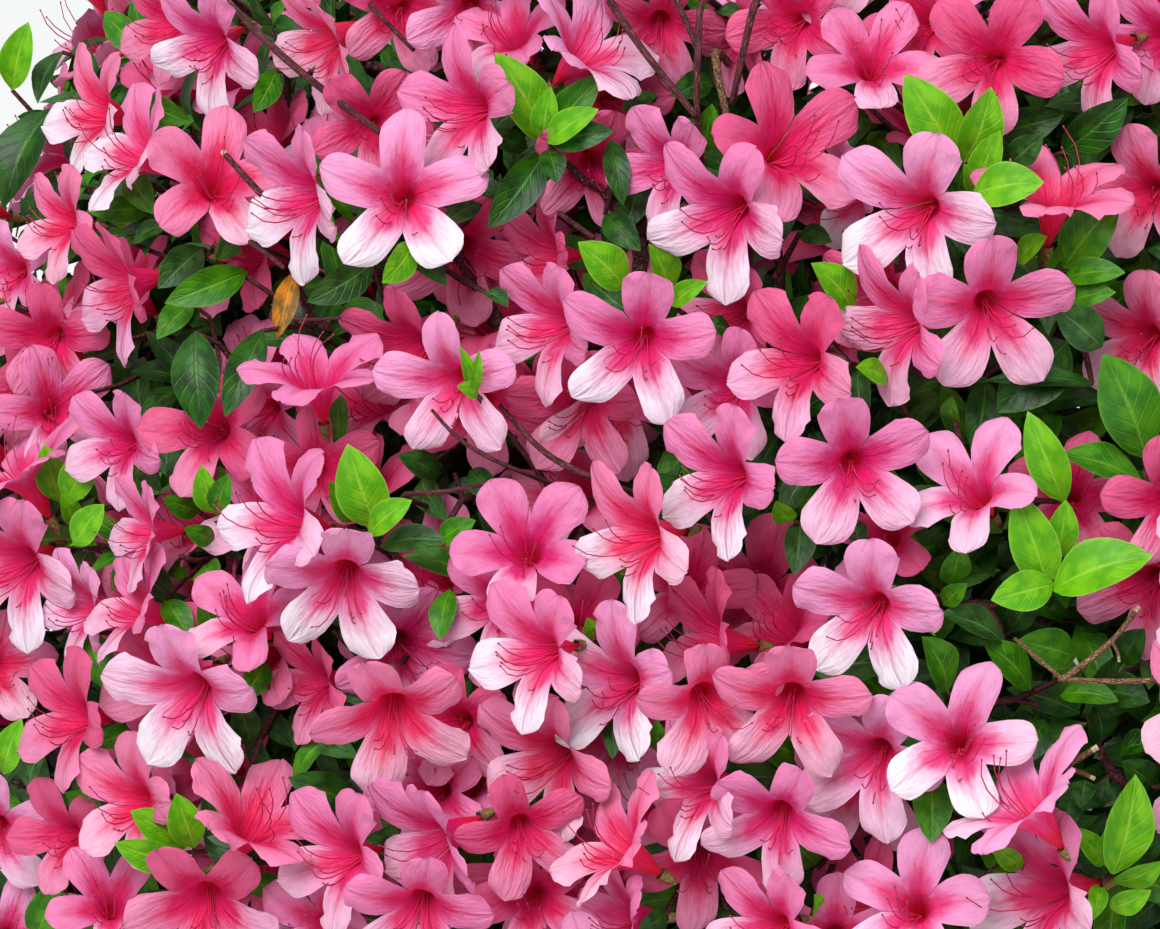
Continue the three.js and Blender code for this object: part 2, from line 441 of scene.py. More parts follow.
FLECK_TINT = 0.45
FLECK_CRIMSON = colour(168, 8, 56)
GROOVE_WIDTH = 0.16
GROOVE_DEPTH = 0.6  # over the height of the wrinkles

# Along a leaf's map, 0 is the foot and 1 the tip, and across it 1 is the edge
LEAF_VEINS = 44.0  # radians that the wave of the side veins runs from foot to tip
LEAF_VEIN_SLANT = 13.0  # radians that it lags at the edge
LEAF_VEIN_TINT = 0.12
LEAF_RIB_WIDTH = (0.02, 0.1)
LEAF_RIB_FADE = (1.0, 0.5)
LEAF_RIB_TINTS = (0.1, 0.65)  # at the tip and towards the foot
LEAF_EDGE = (0.86, 1.0)
LEAF_TIP = (0.92, 1.0)
LEAF_EDGE_TINT = 0.6


@cache
def petal_pattern_group() -> bpy.types.NodeTree:
    """Throat streak, pale margin, flecks, veins and wrinkles of a lobe, laid out on the lobe's own map.

    The map holds three columns: an upper, a side and a lower lobe. Along a column the map runs from
    the foot of the tube to the tip of the lobe.

    Returns:
        The group.
    """
    ins = {"Place": VECTOR, "Tube": TINT, "Throat": TINT, "Middle": TINT, "Margin": TINT, "Tip": TINT}
    b, given, out = new_group("lobe_pattern", ins, {"Colour": TINT, "Height": NUMBER})
    g = given.outputs
    apart = b.node("ShaderNodeSeparateXYZ", {0: g["Place"]})
    columns = b.times(apart.outputs["X"], float(MAP_COLUMNS))
    kind = b.math("FLOOR", columns)
    across = b.math("SUBTRACT", b.times(b.math("SUBTRACT", columns, kind), 2.0), 1.0)
    off = b.math("ABSOLUTE", across)
    along = apart.outputs["Y"]

    # Slow mottling, so that the fade of the throat is never even
    mottle = b.flat_noise(b.stretched(g["Place"], 21.0, 7.0), 3.0)
    drift = b.times(b.math("SUBTRACT", mottle, 0.5), MOTTLE_SHIFT)
    reach = b.math("ADD", along, drift)

    outwards = b.math("ADD", reach, b.times(off, EDGE_LEAD))
    rim = b.mix(b.ease(outwards, *MARGIN_FADE), g["Middle"], g["Margin"])
    heart = b.mix(b.ease(reach, *THROAT_FADE), g["Throat"], g["Middle"])
    streak_width = b.ease(along, *STREAK_ALONG, STREAK_WIDTHS)
    streak = b.less(b.ease(b.math("DIVIDE", off, streak_width), 0.0, 0.95))
    streak = b.times(streak, b.ease(reach, *STREAK_FADE))
    body = b.mix(streak, rim, heart)

    # Lower lobes, which face the sky, pale towards the tip, partly in their own colour and partly as painted
    # light; upper ones stay pink
    lower = b.math("GREATER_THAN", kind, 1.5)
    side = b.math("SUBTRACT", b.math("GREATER_THAN", kind, 0.5), lower)
    paling_and_light = b.math("ADD", b.times(lower, LOWER_PALING_AND_LIGHT), b.times(side, SIDE_PALING_AND_LIGHT))
    paling_and_light = b.math("ADD", paling_and_light, BLEACH_ALL)
    pale = b.times(b.ease(outwards, *TIP_FADE), paling_and_light)
    body = b.mix(pale, body, g["Tip"])

    # Fine veins that run along the lobe, and its darker midrib
    veins = b.flat_noise(b.stretched(g["Place"], 130.0, 5.0), 2.0)
    body = b.mix(b.times(b.ease(veins, 0.44, 0.7), VEIN_TINT), body, g["Middle"])
    rib = b.less(b.ease(off, 0.0, RIB_WIDTH))
    body = b.mix(b.times(rib, b.ease(along, *RIB_FADE, (0.0, RIB_TINT))), body, g["Throat"])

    # Crimson flecks inside the upper lobes
    dots = {"Vector": b.stretched(g["Place"], 60.0, 52.0), "Scale": 1.0}
    cell = b.node("ShaderNodeTexVoronoi", dots, voronoi_dimensions="2D").outputs["Distance"]
    fleck = b.less(b.ease(cell, *FLECK_SIZE))
    zone = b.times(b.ease(along, *FLECKS_START), b.ease(along, *FLECKS_END), b.ease(off, *FLECKS_ASIDE))
    upper = b.less(b.math("MINIMUM", b.math("ADD", lower, side), 1.0))
    body = b.mix(b.times(fleck, zone, b.times(upper, FLECK_TINT)), body, FLECK_CRIMSON)

    # The tube is cherry red
    body = b.mix(b.ease(along, *TUBE_FADE), body, g["Tube"])
    shade = b.mix(b.ease(mottle, 0.3, 0.7), (0.93, 0.9, 0.93, 1.0), (1.0, 1.0, 1.0, 1.0))
    body = b.mix(1.0, body, shade, "MULTIPLY")
    b.tree.links.new(body, out.inputs["Colour"])

    ripple = b.flat_noise(b.stretched(g["Place"], 44.0, 9.0), 2.0)
    groove = b.times(b.ease(off, 0.0, GROOVE_WIDTH), GROOVE_DEPTH)
    b.tree.links.new(b.math("ADD", ripple, groove), out.inputs["Height"])
    return b.tree


@cache
def leaf_pattern_group() -> bpy.types.NodeTree:
    """Midrib, side veins, mottling and edge of a leaf, laid out on the leaf's own map.

    Returns:
        The group, with the blade's colours as inputs.
    """
    ins = {"Place": VECTOR, "Blade": TINT, "Deep": TINT, "Rib": TINT, "Edge": TINT}
    b, given, out = new_group("leaf_pattern", ins, {"Colour": TINT, "Height": NUMBER})
    g = given.outputs
    apart = b.node("ShaderNodeSeparateXYZ", {0: g["Place"]})
    off = b.math("ABSOLUTE", b.math("SUBTRACT", b.times(apart.outputs["X"], 2.0), 1.0))
    along = apart.outputs["Y"]
    mottle = b.flat_noise(b.stretched(g["Place"], 3.2, 4.5), 3.0)
    body = b.mix(b.ease(mottle, 0.32, 0.66), g["Deep"], g["Blade"])
    slant = b.math("SUBTRACT", b.times(along, LEAF_VEINS), b.times(off, LEAF_VEIN_SLANT))
    wave = b.math("SINE", slant)
    vein = b.times(b.ease(wave, 0.72, 1.0), b.ease(off, 1.0, 0.75))
    body = b.mix(b.times(vein, LEAF_VEIN_TINT), body, g["Rib"])
    rib = b.less(b.ease(off, *LEAF_RIB_WIDTH))
    body = b.mix(b.times(rib, b.ease(along, *LEAF_RIB_FADE, LEAF_RIB_TINTS)), body, g["Rib"])
    edge = b.math("MAXIMUM", b.ease(off, *LEAF_EDGE), b.ease(along, *LEAF_TIP))
    body = b.mix(b.times(edge, LEAF_EDGE_TINT), body, g["Edge"])
    b.tree.links.new(body, out.inputs["Colour"])
    rise = b.math("ADD", b.times(b.less(vein), 0.5), b.times(b.ease(off, 0.0, 0.12), 0.6))
    pits = b.flat_noise(b.stretched(g["Place"], 30.0, 60.0), 1.0)
    b.tree.links.new(b.math("ADD", rise, b.times(pits, 0.25)), out.inputs["Height"])
    return b.tree


@cache
def bark_pattern_group() -> bpy.types.NodeTree:
    """Cracks, plates and lichen-pale flecks of bark, from a place in metres or on a map.

    Returns:
        The group, with the bark's colours and the size of its grain as inputs.
    """
    ins = {"Place": VECTOR, "Plate": TINT, "Crack": TINT, "Fleck": TINT, "Grain": NUMBER}
    b, given, out = new_group("bark_pattern", ins, {"Colour": TINT, "Height": NUMBER, "Roughness": NUMBER})
    g = given.outputs
    fine = b.node("ShaderNodeTexNoise", {"Vector": g["Place"], "Scale": g["Grain"], "Detail": 5.0})
    cells = {"Vector": g["Place"], "Scale": g["Grain"]}
    ridge = b.node("ShaderNodeTexVoronoi", cells, feature="DISTANCE_TO_EDGE")
    crack = b.less(b.ease(ridge.outputs["Distance"], 0.02, 0.16))
    plate = b.mix(b.ease(fine.outputs["Fac"], 0.36, 0.62), g["Crack"], g["Plate"])
    body = b.mix(b.times(crack, 0.75), plate, g["Crack"])
    pale = {"Vector": g["Place"], "Scale": b.times(g["Grain"], 2.3), "Detail": 1.0}
    spots = b.node("ShaderNodeTexNoise", pale).outputs["Fac"]
    body = b.mix(b.times(b.ease(spots, 0.6, 0.7), 0.7), body, g["Fleck"])
    b.tree.links.new(body, out.inputs["Colour"])
    height = b.math("SUBTRACT", fine.outputs["Fac"], b.times(crack, 0.8))
    b.tree.links.new(height, out.inputs["Height"])
    b.tree.links.new(b.ease(fine.outputs["Fac"], 0.3, 0.7, (0.95, 0.72)), out.inputs["Roughness"])
    return b.tree


class Paint:
    """A new material, and the node that ends it."""

    def __init__(self, name: str) -> None:
        """Starts with only the output node."""
        self.material = bpy.data.materials.new(name)
        self.material.use_nodes = True
        self.material.node_tree.nodes.clear()
        self.board = Board(self.material.node_tree)
        self.out = self.board.node("ShaderNodeOutputMaterial")

    def own_map(self) -> bpy.types.NodeSocket:
        """A place on the piece's own map."""
        return self.board.node("ShaderNodeUVMap", uv_map=MAP_NAME).outputs[0]

    def pattern(self, group: bpy.types.NodeTree, place: bpy.types.NodeSocket,
                **tints: tuple) -> bpy.types.Node:
        """A shared pattern laid on a place in the finish's own tints, given as screen colours."""
        made = self.board.node("ShaderNodeGroup", node_tree=group)
        values = {label.capitalize(): colour(*tint) for label, tint in tints.items()}
        self.board.fill(made, {"Place": place, **values})
        return made

    def skin(self, pattern: bpy.types.Node, bump: float, depth: float, shine: dict) -> bpy.types.Node:
        """A matt or glossy skin with the colour and relief of a pattern.

        Args:
            pattern: Where its colour and its height come from.
            bump: Strength of the relief.
            depth: Height of the relief in metres.
            shine: Other inputs of the skin.

        Returns:
            The skin's node.
        """
        relief = {"Strength": bump, "Distance": depth, "Height": pattern.outputs["Height"]}
        normal = self.board.node("ShaderNodeBump", relief).outputs[0]
        ins = {"Base Color": pattern.outputs["Colour"], "Normal": normal, **shine}
        return self.board.node("ShaderNodeBsdfPrincipled", ins)

    def let_through(self, skin: bpy.types.Node, pattern: bpy.types.Node, share: float) -> bpy.types.Node:
        """The skin, with a share of the light passing through it."""
        through = self.board.node("ShaderNodeBsdfTranslucent", {"Color": pattern.outputs["Colour"]})
        return self.board.node("ShaderNodeMixShader", {0: share, 1: skin.outputs[0], 2: through.outputs[0]})

    def ended(self, shader: bpy.types.Node) -> bpy.types.Material:
        """The material, with this shader on its surface."""
        self.board.tree.links.new(shader.outputs[0], self.out.inputs["Surface"])
        return self.material


@dataclass(frozen=True)
class PetalFinish:
    """A soft petal that lets some light through, in one shade of pink."""

    name: str
    throat: tuple = (255, 42, 118)
    middle: tuple = (239, 51, 117)
    margin: tuple = (243, 114, 177)
    tip: tuple = (255, 242, 255)
    tube: tuple = (252, 30, 76)
    glow: float = 0.35  # share of light that passes through

    def build(self) -> bpy.types.Material:
        """Makes the material."""
        paint = Paint(self.name)
        tints = {label: getattr(self, label) for label in ("tube", "throat", "middle", "margin", "tip")}
        pattern = paint.pattern(petal_pattern_group(), paint.own_map(), **tints)
        skin = paint.skin(pattern, 0.6, 0.0008, {"Roughness": 0.43, "Specular IOR Level": 0.28})
        return paint.ended(paint.let_through(skin, pattern, self.glow))


@dataclass(frozen=True)
class LeafFinish:
    """An evergreen leaf, dark or young."""

    name: str
    blade: tuple
    deep: tuple
    rib: tuple
    edge: tuple
    roughness: float = 0.42
    glow: float = 0.12

    def build(self) -> bpy.types.Material:
        """Makes the material."""
        paint = Paint(self.name)
        tints = {label: getattr(self, label) for label in ("blade", "deep", "rib", "edge")}
        pattern = paint.pattern(leaf_pattern_group(), paint.own_map(), **tints)
        skin = paint.skin(pattern, 0.5, 0.0005, {"Roughness": self.roughness, "Specular IOR Level": 0.3})
        return paint.ended(paint.let_through(skin, pattern, self.glow))


@dataclass(frozen=True)
class BarkFinish:
    """Bark of the limbs, or the skin of a twig."""

    name: str
    plate: tuple
    crack: tuple
    fleck: tuple
    grain: float
    on_map: bool = True
    stretch: tuple = (1.0, 1.0, 1.0)
    relief: float = 0.0008  # metres

    def build(self) -> bpy.types.Material:
        """Makes the material."""
        paint = Paint(self.name)
        board = paint.board
        place = paint.own_map() if self.on_map else board.node("ShaderNodeTexCoord").outputs["Object"]
        place = board.node("ShaderNodeMapping", {0: place, "Scale": self.stretch}).outputs[0]
        tints = {label: getattr(self, label) for label in ("plate", "crack", "fleck")}
        pattern = paint.pattern(bark_pattern_group(), place, **tints)
        pattern.inputs["Grain"].default_value = self.grain
        shine = {"Roughness": pattern.outputs["Roughness"], "Specular IOR Level": 0.3}
        return paint.ended(paint.skin(pattern, 0.8, self.relief, shine))


@dataclass(frozen=True)
class FilamentFinish:
    """A thread that darkens from its foot to its tip."""

    name: str
    foot: tuple
    tip: tuple

    def build(self) -> bpy.types.Material:
        """Makes the material."""
        paint = Paint(self.name)
        b = paint.board
        along = b.node("ShaderNodeSeparateXYZ", {0: paint.own_map()}).outputs["Y"]
        tone = b.mix(b.ease(along, 0.3, 0.95), colour(*self.foot), colour(*self.tip))
        return paint.ended(b.node("ShaderNodeBsdfPrincipled", {"Base Color": tone, "Roughness": 0.45}))


class Shade(Enum):
    """The shades of pink that the blossom is dealt."""

    ROSE = PetalFinish("petal_rose")
    # Deeper pink: a few blooms in the open, and most of those in the shade of others as painted shade
    DEEP = PetalFinish("petal_deep", middle=(228, 32, 94), margin=(230, 70, 128), tip=(248, 186, 220))
    # Paler pink: only blooms in the open, partly their own tone and partly painted light
    PALE = PetalFinish("petal_pale", middle=(242, 80, 142), margin=(249, 152, 208), tip=(255, 248, 255))
    WARM = PetalFinish("petal_warm", throat=(255, 34, 100), middle=(242, 48, 104), margin=(245, 110, 164))
    COOL = PetalFinish("petal_cool", throat=(246, 30, 116), middle=(230, 52, 124), margin=(240, 116, 180))


class Green(Enum):
    """The kinds of leaf."""

    YOUNG = LeafFinish("leaf_young", (116, 190, 14), (84, 164, 6), (156, 212, 62), (176, 218, 84), 0.45, 0.28)
    FRESH = LeafFinish("leaf_fresh", (68, 136, 6), (42, 108, 4), (110, 166, 42), (104, 158, 42), 0.4, 0.16)
    DARK = LeafFinish("leaf_dark", (32, 86, 6), (14, 52, 3), (68, 112, 34), (54, 98, 28), 0.36, 0.06)
    BLUE = LeafFinish("leaf_blue", (48, 94, 30), (24, 64, 16), (92, 130, 74), (76, 112, 62), 0.38, 0.06)
    OLD = LeafFinish("leaf_old", (196, 120, 16), (110, 84, 20), (210, 160, 50), (140, 72, 16), 0.5, 0.15)


class Bark(Enum):
    """The kinds of bark and of green skin over twigs."""

    TRUNK = BarkFinish(
        "trunk_bark", (126, 104, 88), (62, 46, 40), (170, 160, 142), 160.0, False, (1, 1, 0.35)
    )
    BRANCH = BarkFinish("branch_bark", (108, 74, 60), (60, 36, 32), (150, 128, 110), 7.0, stretch=(1, 2, 1))
    TWIG = BarkFinish("twig_skin", (98, 44, 46), (56, 22, 28), (128, 80, 70), 5.0, True, (1, 3, 1), 0.0004)
    OLD_TWIG = BarkFinish(
        "old_twig_bark", (146, 112, 78), (92, 64, 46), (196, 172, 136), 6.0, True, (1, 3, 1), 0.0005
    )
    CUT_WOOD = BarkFinish("cut_wood", (222, 206, 170), (196, 172, 130), (236, 226, 200), 4.0, relief=0.0)
    CALYX = BarkFinish("calyx", (128, 140, 60), (120, 70, 52), (160, 170, 90), 4.0, relief=0.0)


class Thread(Enum):
    """The threads of the blossom and the grains at their tips."""

    FILAMENT = FilamentFinish("filament", (232, 44, 98), (164, 18, 72))
    ANTHER = FilamentFinish("anther", (122, 20, 52), (150, 60, 80))


# Shapes of the blossom


@dataclass(frozen=True)
class LobeCut:
    """How one lobe differs from the next: all share the tube, so that they meet there."""

    open_angle: float = 80.0  # degrees from the axis, along the free part
    curl: float = 10.0  # degrees more at the tip
    width: float = 1.0
    length: float = 1.0
    sway: float = 0.0  # sideways drift of the tip over the lobe's length
    wave: float = 0.0  # phase of the ruffled edge
    tilt: float = 0.0005  # how far one edge rides over the neighbour
    ruffle: float = 0.0008


@dataclass(frozen=True)
class Blossom:
    """Sizes of one bloom, in metres, and the arrays made from them."""

    tube_length: float = 0.0205  # along the surface, foot to where the lobes part
    tube_places: tuple = (0, 0.063, 0.09, 0.5, 0.68, 0.84, 1.0)  # shares of that length
    tube_leans: tuple = (80, 76, 8, 13, 27, 47)  # degrees from the axis there, up to the mouth
    foot_radius: float = 0.0002
    lobe_length: float = 0.0136
    half_width: float = 0.0067
    rounding: float = 0.0004  # how far the corners of a lobe's end fall back
    groove: float = 0.0009  # how deep the middle line lies
    edge_fall: float = 0.0017  # how far the edges of a lobe fall back
    widest_at: float = 0.46  # along a lobe, from its foot
    tip_closing: float = 0.985  # share of the width that is gone at the tip
    tip_crowding: float = 1.75  # past 1 the rows of a lobe crowd towards its tip
    mouth_crowding: float = 0.7  # under 1 the rows of the tube crowd towards its mouth
    filament_radius: float = 0.00024
    style_length: float = 0.032
    stamen_lengths: tuple = (0.023, 0.028)
    stamen_ring: float = 0.0008  # radius of the ring that the stamens stand on
    anther_size: float = 0.00042
    calyx_heights: tuple = (-0.0042, -0.001, 0.0012)  # from the foot of the tube
    calyx_radii: tuple = (0.0008, 0.0017, 0.0019)
    mouth_angle: float = 62.0  # degrees from the axis where the lobes part
    reach: float = 0.0229  # from the axis to the tip of a well-opened lobe
    throat_height: float = 0.0171  # of the mouth above the foot of the tube
    heart_height: float = 0.0106  # of the dark heart that shows when the bloom is seen from the front
    mouth_place: float = 0.575  # where the lobes part, along the map of a lobe
    stamen_foot: float = 0.006  # height at which the stamens come into view

    def profile(self, cut: LobeCut) -> tuple[np.ndarray, np.ndarray, np.ndarray, np.ndarray]:
        """The middle line of a lobe from the foot of the tube to the tip.

        Args:
            cut: How this lobe differs.

        Returns:
            Distance along, distance from the axis, height and lean from the axis in radians.
        """
        free = self.lobe_length * cut.length
        step = np.linspace(0, self.tube_length + free, 161)
        neck = step / self.tube_length
        share = (step - self.tube_length) / free
        mouth = self.mouth_angle
        angle = np.interp(neck, self.tube_places, [*self.tube_leans, mouth])
        opened = mouth + (cut.open_angle - mouth) * smooth(share, -0.02, 0.4)
        opened = opened + cut.curl * smooth(share, 0.4, 1.0)
        angle = np.radians(np.where(share > 0, opened, angle))
        gap = step[1]
        out = self.foot_radius + np.concatenate([[0], np.cumsum(np.sin(angle[1:]) * gap)])
        rise = np.concatenate([[0], np.cumsum(np.cos(angle[1:]) * gap)])
        return step, out, rise, angle

    def lobe(self, cut: LobeCut, tube_rows: int, free_rows: int, columns: int) -> Pattern:
        """One fifth of the bloom: its share of the tube and one lobe.

        Args:
            cut: How this lobe differs.
            tube_rows: Steps along the tube.
            free_rows: Steps along the lobe.
            columns: Steps across.

        Returns:
            The lobe, radial direction along X, axis along Z, inner face up.
        """
        step, out, rise, angle = self.profile(cut)
        total = step[-1]
        free = 1 - (1 - np.linspace(0, 1, free_rows + 1)) ** self.tip_crowding
        lower = np.linspace(0, 1, tube_rows + 1)[:-1] ** self.mouth_crowding * self.tube_length
        s = np.concatenate([lower, self.tube_length + free * (total - self.tube_length)])
        r, z, lean = (np.interp(s, step, line)[:, None] for line in (out, rise, angle))
        q = np.clip((s - self.tube_length) / (total - self.tube_length), 0, 1)[:, None]
        u = np.linspace(-1, 1, columns + 1)[None]
        sector = math.pi / 5
        neck = np.interp(self.tube_length, step, out) * math.sin(sector)
        widest = self.half_width * cut.width
        belly = neck + (widest - neck) * np.sin(np.clip(q / 0.5, 0, 1) * math.pi / 2)
        narrowing = np.clip((q - self.widest_at) / (1 - self.widest_at), 0, 1)
        end = (1 - self.tip_closing * narrowing**2.4) ** 0.5
        flat = smooth(q, 0.0, 0.3)
        x = r * np.cos(u * sector)
        x = x + (r - x) * flat - self.rounding * u**2 * smooth(q, 0.55, 1.0) * np.sin(lean)
        z = z - self.rounding * u**2 * smooth(q, 0.55, 1.0) * np.cos(lean)
        y = np.where(q > 0, u * belly * end + cut.sway * self.lobe_length * q**2, r * np.sin(u * sector))
        edge = np.abs(u)
        lift = self.groove * (1 - np.exp(-((u / 0.3) ** 2))) * smooth(q, 0.0, 0.3)
        lift = lift - self.edge_fall * edge**2.6 * smooth(q, 0.1, 0.6) * (0.4 + 0.6 * end)
        wave = np.sin(q * 9 + np.sign(u) * 1.3 + cut.wave)
        wave = wave + 0.6 * np.sin(q * 19 + np.sign(u) * 2.1 + cut.wave * 2)
        lift = lift + cut.ruffle * wave * edge**2 * smooth(q, 0.12, 0.6) * end
        lift = lift + cut.tilt * u * smooth(q, 0.0, 0.35) * 1.2
        points = np.stack([x - np.cos(lean) * lift, y, z + np.sin(lean) * lift], axis=-1)
        v = np.interp(s, [0, self.tube_length, total], [0, self.mouth_place, 1])[:, None] + 0 * u
        spots = np.stack([(u * 0.48 + 0.5) / 3 + 0 * v, 0.01 + v * 0.98], axis=-1)
        return grid_pattern(points, spots)

    def filaments(self, seed: int, joints: int, sides: int,
                  every: int = 1) -> tuple[Pattern, list[np.ndarray], list[np.ndarray]]:
        """Five stamens and the style, curving up from the lower side of the throat.

        Args:
            seed: Which set this is.
            joints: Steps along each filament.
            sides: Sides of each filament.
            every: Takes one filament in so many, for blooms that are only seen from afar.

        Returns:
            The filaments, the places of their tips and the directions there. X is the upper side.
        """
        rng = np.random.default_rng(seed)
        patterns, tips, ends = [], [], []
        for i in range(every - 1, 6, every):
            style = i == 5
            aside = rng.uniform(-0.2, 0.2)
            length = self.style_length if style else rng.uniform(*self.stamen_lengths)
            start = np.array([-0.0006, self.stamen_ring * math.sin(i * 2.4), self.stamen_foot])
            lean = math.radians(24 if style else 8 + 8.5 * i + rng.uniform(-3, 3))
            t = np.linspace(0, 1, joints + 1)[:, None]
            out = np.array([-math.sin(lean), aside, math.cos(lean)])
            bend = np.array([0.34 + rng.uniform(-0.06, 0.1), aside * 0.3, -0.08])
            path = start + length * (t * unit(out) + t**3 * bend)
            radii = np.linspace(1.2, 0.7, joints + 1) * self.filament_radius
            patterns.append(tube_pattern(path, radii, sides))
            tips.append(path[-1])
            ends.append(unit(path[-1] - path[-2]))
        return joined(patterns), tips, ends

    def anther(self) -> Pattern:
        """A small pointed grain, made from a coarse ring."""
        path = np.outer((-1.1, 0.0, 1.1), WORLD_UP) * self.anther_size
        return tube_pattern(path, np.array([0.3, 0.75, 0.25]) * self.anther_size, 5)

    def stalk(self) -> Pattern:
        """Calyx and the first of the stalk under the tube."""
        path = np.outer(self.calyx_heights, WORLD_UP)
        return tube_pattern(path, np.array(self.calyx_radii), 6, closed_tip=False)


class LeafShape:
    """Outline and bend of a leaf of length one, in a few variants."""

    def __init__(self, rows: int, columns: int) -> None:
        """Takes how finely the blade is cut."""
        self.rows, self.columns = rows, columns

    def pattern(self, droop: float, fold: float, plump: float) -> Pattern:
        """One leaf.

        Args:
            droop: How far the tip falls.
            fold: How far the halves fold up along the midrib.
            plump: Half the width over the length.

        Returns:
            The leaf, along Y from its foot, upper face towards Z.
        """
        v = np.linspace(0, 1, self.rows + 1)
        u = np.linspace(-1, 1, self.columns + 1)
        half = plump * np.sin(math.pi * v**0.98) ** 0.78 + 0.012 * (1 - v)
        x = u[None] * half[:, None]
        y = v[:, None] * (1 - 0.1 * droop) + 0 * u[None]
        rise = 0.10 * np.sin(math.pi * v)[:, None] - droop * (v**2)[:, None]
        z = rise + fold * np.abs(x) + 0.012 * np.sin(v[:, None] * 11 + u[None] * 2) * np.abs(u[None])
        points = np.stack([x, y, z], axis=-1)
        across, along = np.meshgrid(u * 0.48 + 0.5, 0.01 + 0.98 * v)
        return grid_pattern(points, np.stack([across, along], axis=-1))


# What the photograph shows, by its pixels


@dataclass(frozen=True)
class Seen:
    """A bloom in the photograph: throat, lobe length in pixels, turn of one lobe, and where it looks."""

    across: float
    down: float
    reach: float
    turn: float  # degrees of one lobe, counted from the picture's right, upwards
    right: float = 0.0  # degrees that it looks to the right of the viewer
    up: float = 0.0  # degrees that it looks above the viewer
    deep: float = 0.0  # millimetres behind the front of the blossom
    white: bool = False  # whether its lower lobes end near white, partly their own colour and partly painted light
